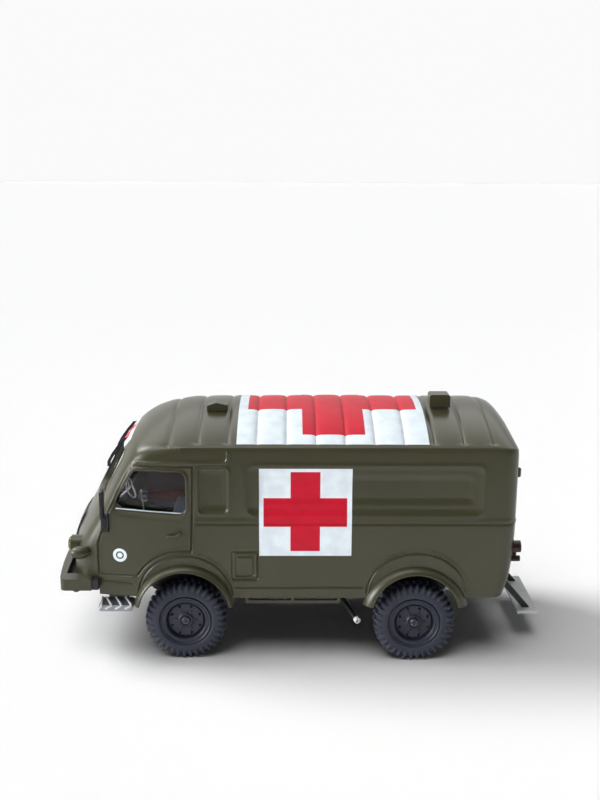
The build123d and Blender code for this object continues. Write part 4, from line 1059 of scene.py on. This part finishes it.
# the door's moulded trim, from the window down: name, lowest and highest edge, thickness, finish, slot
DOOR_TRIM = (("door_trim_", 28.4, 36.2, 0.4, maroon, "cab_plastic"),
             ("arm_rest_", 25.4, 28.4, 1.0, seat_red, "seat_red"),
             ("kick_panel_", 23.7, 25.4, 0.5, seat_grey, "seat_grey"))


def build_door_inside(side, side_name):
    """Trim behind the door's skin, and a white bar painted along the lower edge of its glazing as the
    highlight that edge catches.
    """
    inner = side * (HALF_WIDTH - WALL - 0.25)
    for name, low, high, thickness, finish, slot in DOOR_TRIM:
        net = slab(rounded_outline(box_corners(6.6, (low + high) / 2, 7.4, (high - low) / 2), 0.5),
                   lambda u, v, depth: (u, inner - side * depth, v), thickness, 0.15)
        to_mesh(name + side_name, *net, finish, slot=slot)
    # painted highlight: a white bar along the foot of the clear glazing, as the light its edge catches
    edge = rounded_bar([(15.3, side * (HALF_WIDTH - 0.95), 38.0), (7.0, side * (HALF_WIDTH - 0.6), 37.35),
                        (-0.4, side * (HALF_WIDTH - 0.5), 36.85)], 0.13)
    to_mesh("glazing_painted_glint_" + side_name, *edge, white_print, slot="clear_plastic")


HINGE_Y, HINGE_HEIGHTS = 17.6, (45.6, 26.0)


def build_rear_hinges(side, side_name):
    for z in HINGE_HEIGHTS:
        net = rounded_bar([(TAIL_X - 0.1, side * HINGE_Y, z + half) for half in (-0.7, 0.7)], 0.5)
        to_mesh("back_door_hinge_" + side_name, *net, olive, slot="olive_paint")


for side, side_name in SIDES:
    for build in (build_step, build_handle, build_door_inside, build_rear_hinges):
        build(side, side_name)

# steering wheel: its middle, its column's foot, its rim's radius; then the gear stick's ends and its knob
WHEEL_CENTRE, COLUMN_FOOT, WHEEL_RIM = Vector((14.1, 9.6, 39.3)), Vector((20.2, 9.6, 35.6)), 2.9
STICK_HEAD, STICK_FOOT, KNOB_RADIUS = Vector((12.1, 3.0, 36.0)), Vector((11.2, 3.0, 26.0)), 0.42


def build_steering():
    """Thin steering wheel with three spokes, on its column."""
    down = (COLUMN_FOOT - WHEEL_CENTRE).normalized()
    across = Vector((0, 1, 0))
    along = down.cross(across)
    rim = [WHEEL_CENTRE + WHEEL_RIM * (cos(a) * across + sin(a) * along)
           for a in [2 * pi * k / 48 for k in range(49)]]
    spokes = [rounded_bar([WHEEL_CENTRE + 0.2 * down, WHEEL_CENTRE + WHEEL_RIM * 0.97 * way], 0.13)
              for way in (across, -across, along)]
    column = tube([WHEEL_CENTRE - 0.3 * down, WHEEL_CENTRE, WHEEL_CENTRE + 0.5 * down, COLUMN_FOOT],
                  [0.05, 0.45, 0.4, 0.3])
    to_mesh("thin_steering_wheel", *joined([tube(rim, [0.2] * 49), column] + spokes), ivory, "van",
            "steering_white", "steering_wheel")


def build_gear_stick():
    """Thin stick with a small round knob."""
    turns = [pi / 10 * k for k in range(-5, 6)]
    knob = tube([STICK_HEAD + Vector((0, 0, KNOB_RADIUS * sin(a))) for a in turns],
                [0.02 + (KNOB_RADIUS - 0.02) * cos(a) for a in turns])
    stick = tube([STICK_FOOT, STICK_FOOT.lerp(STICK_HEAD, 0.5), STICK_HEAD], [0.2, 0.15, 0.12])
    to_mesh("gear_stick", *joined([stick, knob]), ivory, "van", "steering_white", "gear_lever")


build_steering()
build_gear_stick()

# ---------------------------------------------------------------- camera
# the eye's place in millimetres from the front axle, and its focal length in pixels of an 800 high picture
EYE, FOCAL_PIXELS, PICTURE_HEIGHT, FILM = (-24.16, 242.8, 117.4), 1018.4, 800, 36.0
PITCH, YAW, ROLL = radians(13.64), radians(-0.67), radians(0.30)

camera_data = bpy.data.cameras.new("camera")
camera_data.sensor_width = FILM
camera_data.lens = FOCAL_PIXELS / PICTURE_HEIGHT * FILM
camera_data.clip_start = 0.01
camera_data.clip_end = 50
camera = placed("camera", camera_data)
ahead = Vector((sin(YAW) * cos(PITCH), -cos(YAW) * cos(PITCH), -sin(PITCH)))
across = ahead.cross(Vector((0, 0, 1))).normalized()
up = across.cross(ahead)
right = cos(ROLL) * across + sin(ROLL) * up
top = cos(ROLL) * up - sin(ROLL) * across
turn = Matrix((right, top, -ahead)).transposed().to_4x4()
camera.matrix_world = Matrix.Translation(Vector(metres(*EYE))) @ turn
bpy.context.scene.camera = camera


# ---------------------------------------------------------------- floor, background and light
def stage_plane(name, corners):
    """A plane that belongs to the studio, not to the van."""
    mesh = bpy.data.meshes.new(name)
    mesh.from_pydata(corners, [], [(0, 1, 2, 3)])
    made = placed(name, mesh)
    return made


# white paper floor, a touch greyer far from the van, so that it runs into the white behind it
FLOOR_HALF = 4.0
floor = stage_plane("floor", [(x, y, 0) for x, y in box_corners(0, 0, FLOOR_HALF, FLOOR_HALF)])
paper, paper_tree, paper_shader = new_material("floor_white", Roughness=0.9)
floor_place = add_node(paper_tree, "ShaderNodeTexCoord").outputs["Object"]
from_middle = add_node(paper_tree, "ShaderNodeVectorMath", {"operation": "DISTANCE"}, {0: floor_place},
                       {1: (0.0, 0.165, 0.0)}).outputs["Value"]
far_off = add_node(paper_tree, "ShaderNodeMapRange", {"interpolation_type": "SMOOTHSTEP"},
                   {"Value": from_middle}, {"From Min": 0.285, "From Max": 0.865})
sweep = add_node(paper_tree, "ShaderNodeMix", {"data_type": "RGBA"}, {0: far_off.outputs["Result"]},
                 {6: colour("#fbfbfb"), 7: colour("#f8f8f8")})
paper_tree.links.new(sweep.outputs[2], paper_shader.inputs["Base Color"])
paper_shader.inputs["Specular IOR Level"].default_value = 0.0
floor.data.materials.append(paper)


def far_softbox(name, towards, irradiance, spread):
    """A softbox so far off that it lights the whole sweep evenly; spread is how wide it looks, in degrees."""
    data = bpy.data.lights.new(name, "SUN")
    data.energy = irradiance
    data.angle = radians(spread)
    lamp = placed(name, data)
    lamp.rotation_mode = "QUATERNION"
    lamp.rotation_quaternion = (-Vector(towards)).to_track_quat("-Z", "Y")
    return lamp


# the floor takes a share of its own from both big boxes: it stays white where the printed roof must not clip
only_floor = bpy.data.collections.new("only_floor")
only_floor.objects.link(floor)
for name, towards, irradiance, floor_share, spread in (
        ("key_from_the_nose", (0.66, -0.2, 0.72), 1.9, 0.45, 28),
        ("overhead_box", (0.2, 0.27, 0.93), 1.17, 0.25, 42)):
    far_softbox(name, towards, irradiance, spread)
    extra = far_softbox(name + "_on_floor", towards, floor_share, spread)
    extra.light_linking.receiver_collection = only_floor
# low fills reach the van alone, so that the shadow under it stays deep
not_filled = bpy.data.collections.new("not_filled")
not_filled.objects.link(floor)
not_filled.collection_objects[0].light_linking.link_state = "EXCLUDE"
for name, towards, irradiance, spread, mirrored_in_gloss in (
        ("left_fill", (0.1, 0.97, 0.06), 1.2, 60, False), ("right_fill", (0.0, -0.97, 0.06), 0.5, 60, False),
        ("rear_fill", (-0.97, 0.0, 0.06), 0.6, 60, False), ("nose_strip", (0.93, 0.3, 0.12), 2.9, 30, True)):
    fill = far_softbox(name, towards, irradiance, spread)
    fill.visible_glossy = mirrored_in_gloss
    fill.light_linking.receiver_collection = not_filled

# a black flag on the left, seen by gloss alone, keeps the upper side and the glass dark
FLAG_Y, FLAG_BACK, FLAG_FRONT, FLAG_TOP = 0.165, -0.6, 0.13, 0.6
flag_corners = ((FLAG_BACK, 0), (FLAG_FRONT, 0), (FLAG_FRONT, FLAG_TOP), (FLAG_BACK, FLAG_TOP))
flag = stage_plane("black_flag", [(x, FLAG_Y, z) for x, z in flag_corners])
flag.data.materials.append(fine_grained("black_cloth", "#050505", 1.0))
flag.visible_camera = flag.visible_diffuse = flag.visible_transmission = flag.visible_shadow = False

world = bpy.data.worlds.new("studio")
bpy.context.scene.world = world
world.use_nodes = True
sky = world.node_tree
sky.nodes.clear()
rays = add_node(sky, "ShaderNodeLightPath")
view = add_node(sky, "ShaderNodeTexCoord").outputs["Generated"]
way = add_node(sky, "ShaderNodeSeparateXYZ", links={"Vector": view})


def fade(axis, start, end, before=1.0, after=0.0):
    """From one value up to start to another from end on, along one axis of the view direction."""
    made = add_node(sky, "ShaderNodeMapRange", {"interpolation_type": "SMOOTHSTEP"},
                    {"Value": way.outputs[axis]},
                    {"From Min": start, "From Max": end, "To Min": before, "To Max": after})
    return made.outputs["Result"]


# gloss mirrors a white room, with a large softbox high up on the right
box = add_node(sky, "ShaderNodeMath", {"operation": "MULTIPLY"},
               {0: fade("Y", -0.55, -0.3), 1: fade("Z", 0.4, 0.62, 0.0, 1.0)}).outputs[0]
mirrored = add_node(sky, "ShaderNodeMapRange", links={"Value": box}, values={"To Min": 1.0, "To Max": 2.7})
gloss = add_node(sky, "ShaderNodeBackground", links={"Strength": mirrored.outputs["Result"]})
lit = add_node(sky, "ShaderNodeBackground", values={"Color": (1, 1, 1, 1), "Strength": 0.06})
seen = add_node(sky, "ShaderNodeBackground", values={"Color": colour("#fafafa"), "Strength": 1.0})
shown = add_node(sky, "ShaderNodeMath", {"operation": "MAXIMUM"},
                 {0: rays.outputs["Is Camera Ray"], 1: rays.outputs["Is Transmission Ray"]})
by_gloss = add_node(sky, "ShaderNodeMixShader", links={0: rays.outputs["Is Glossy Ray"], 1: lit.outputs[0],
                                                       2: gloss.outputs[0]})
mixed = add_node(sky, "ShaderNodeMixShader", links={0: shown.outputs[0], 1: by_gloss.outputs[0],
                                                    2: seen.outputs[0]})
add_node(sky, "ShaderNodeOutputWorld", links={"Surface": mixed.outputs[0]})
bpy.context.scene.view_settings.view_transform = "Standard"
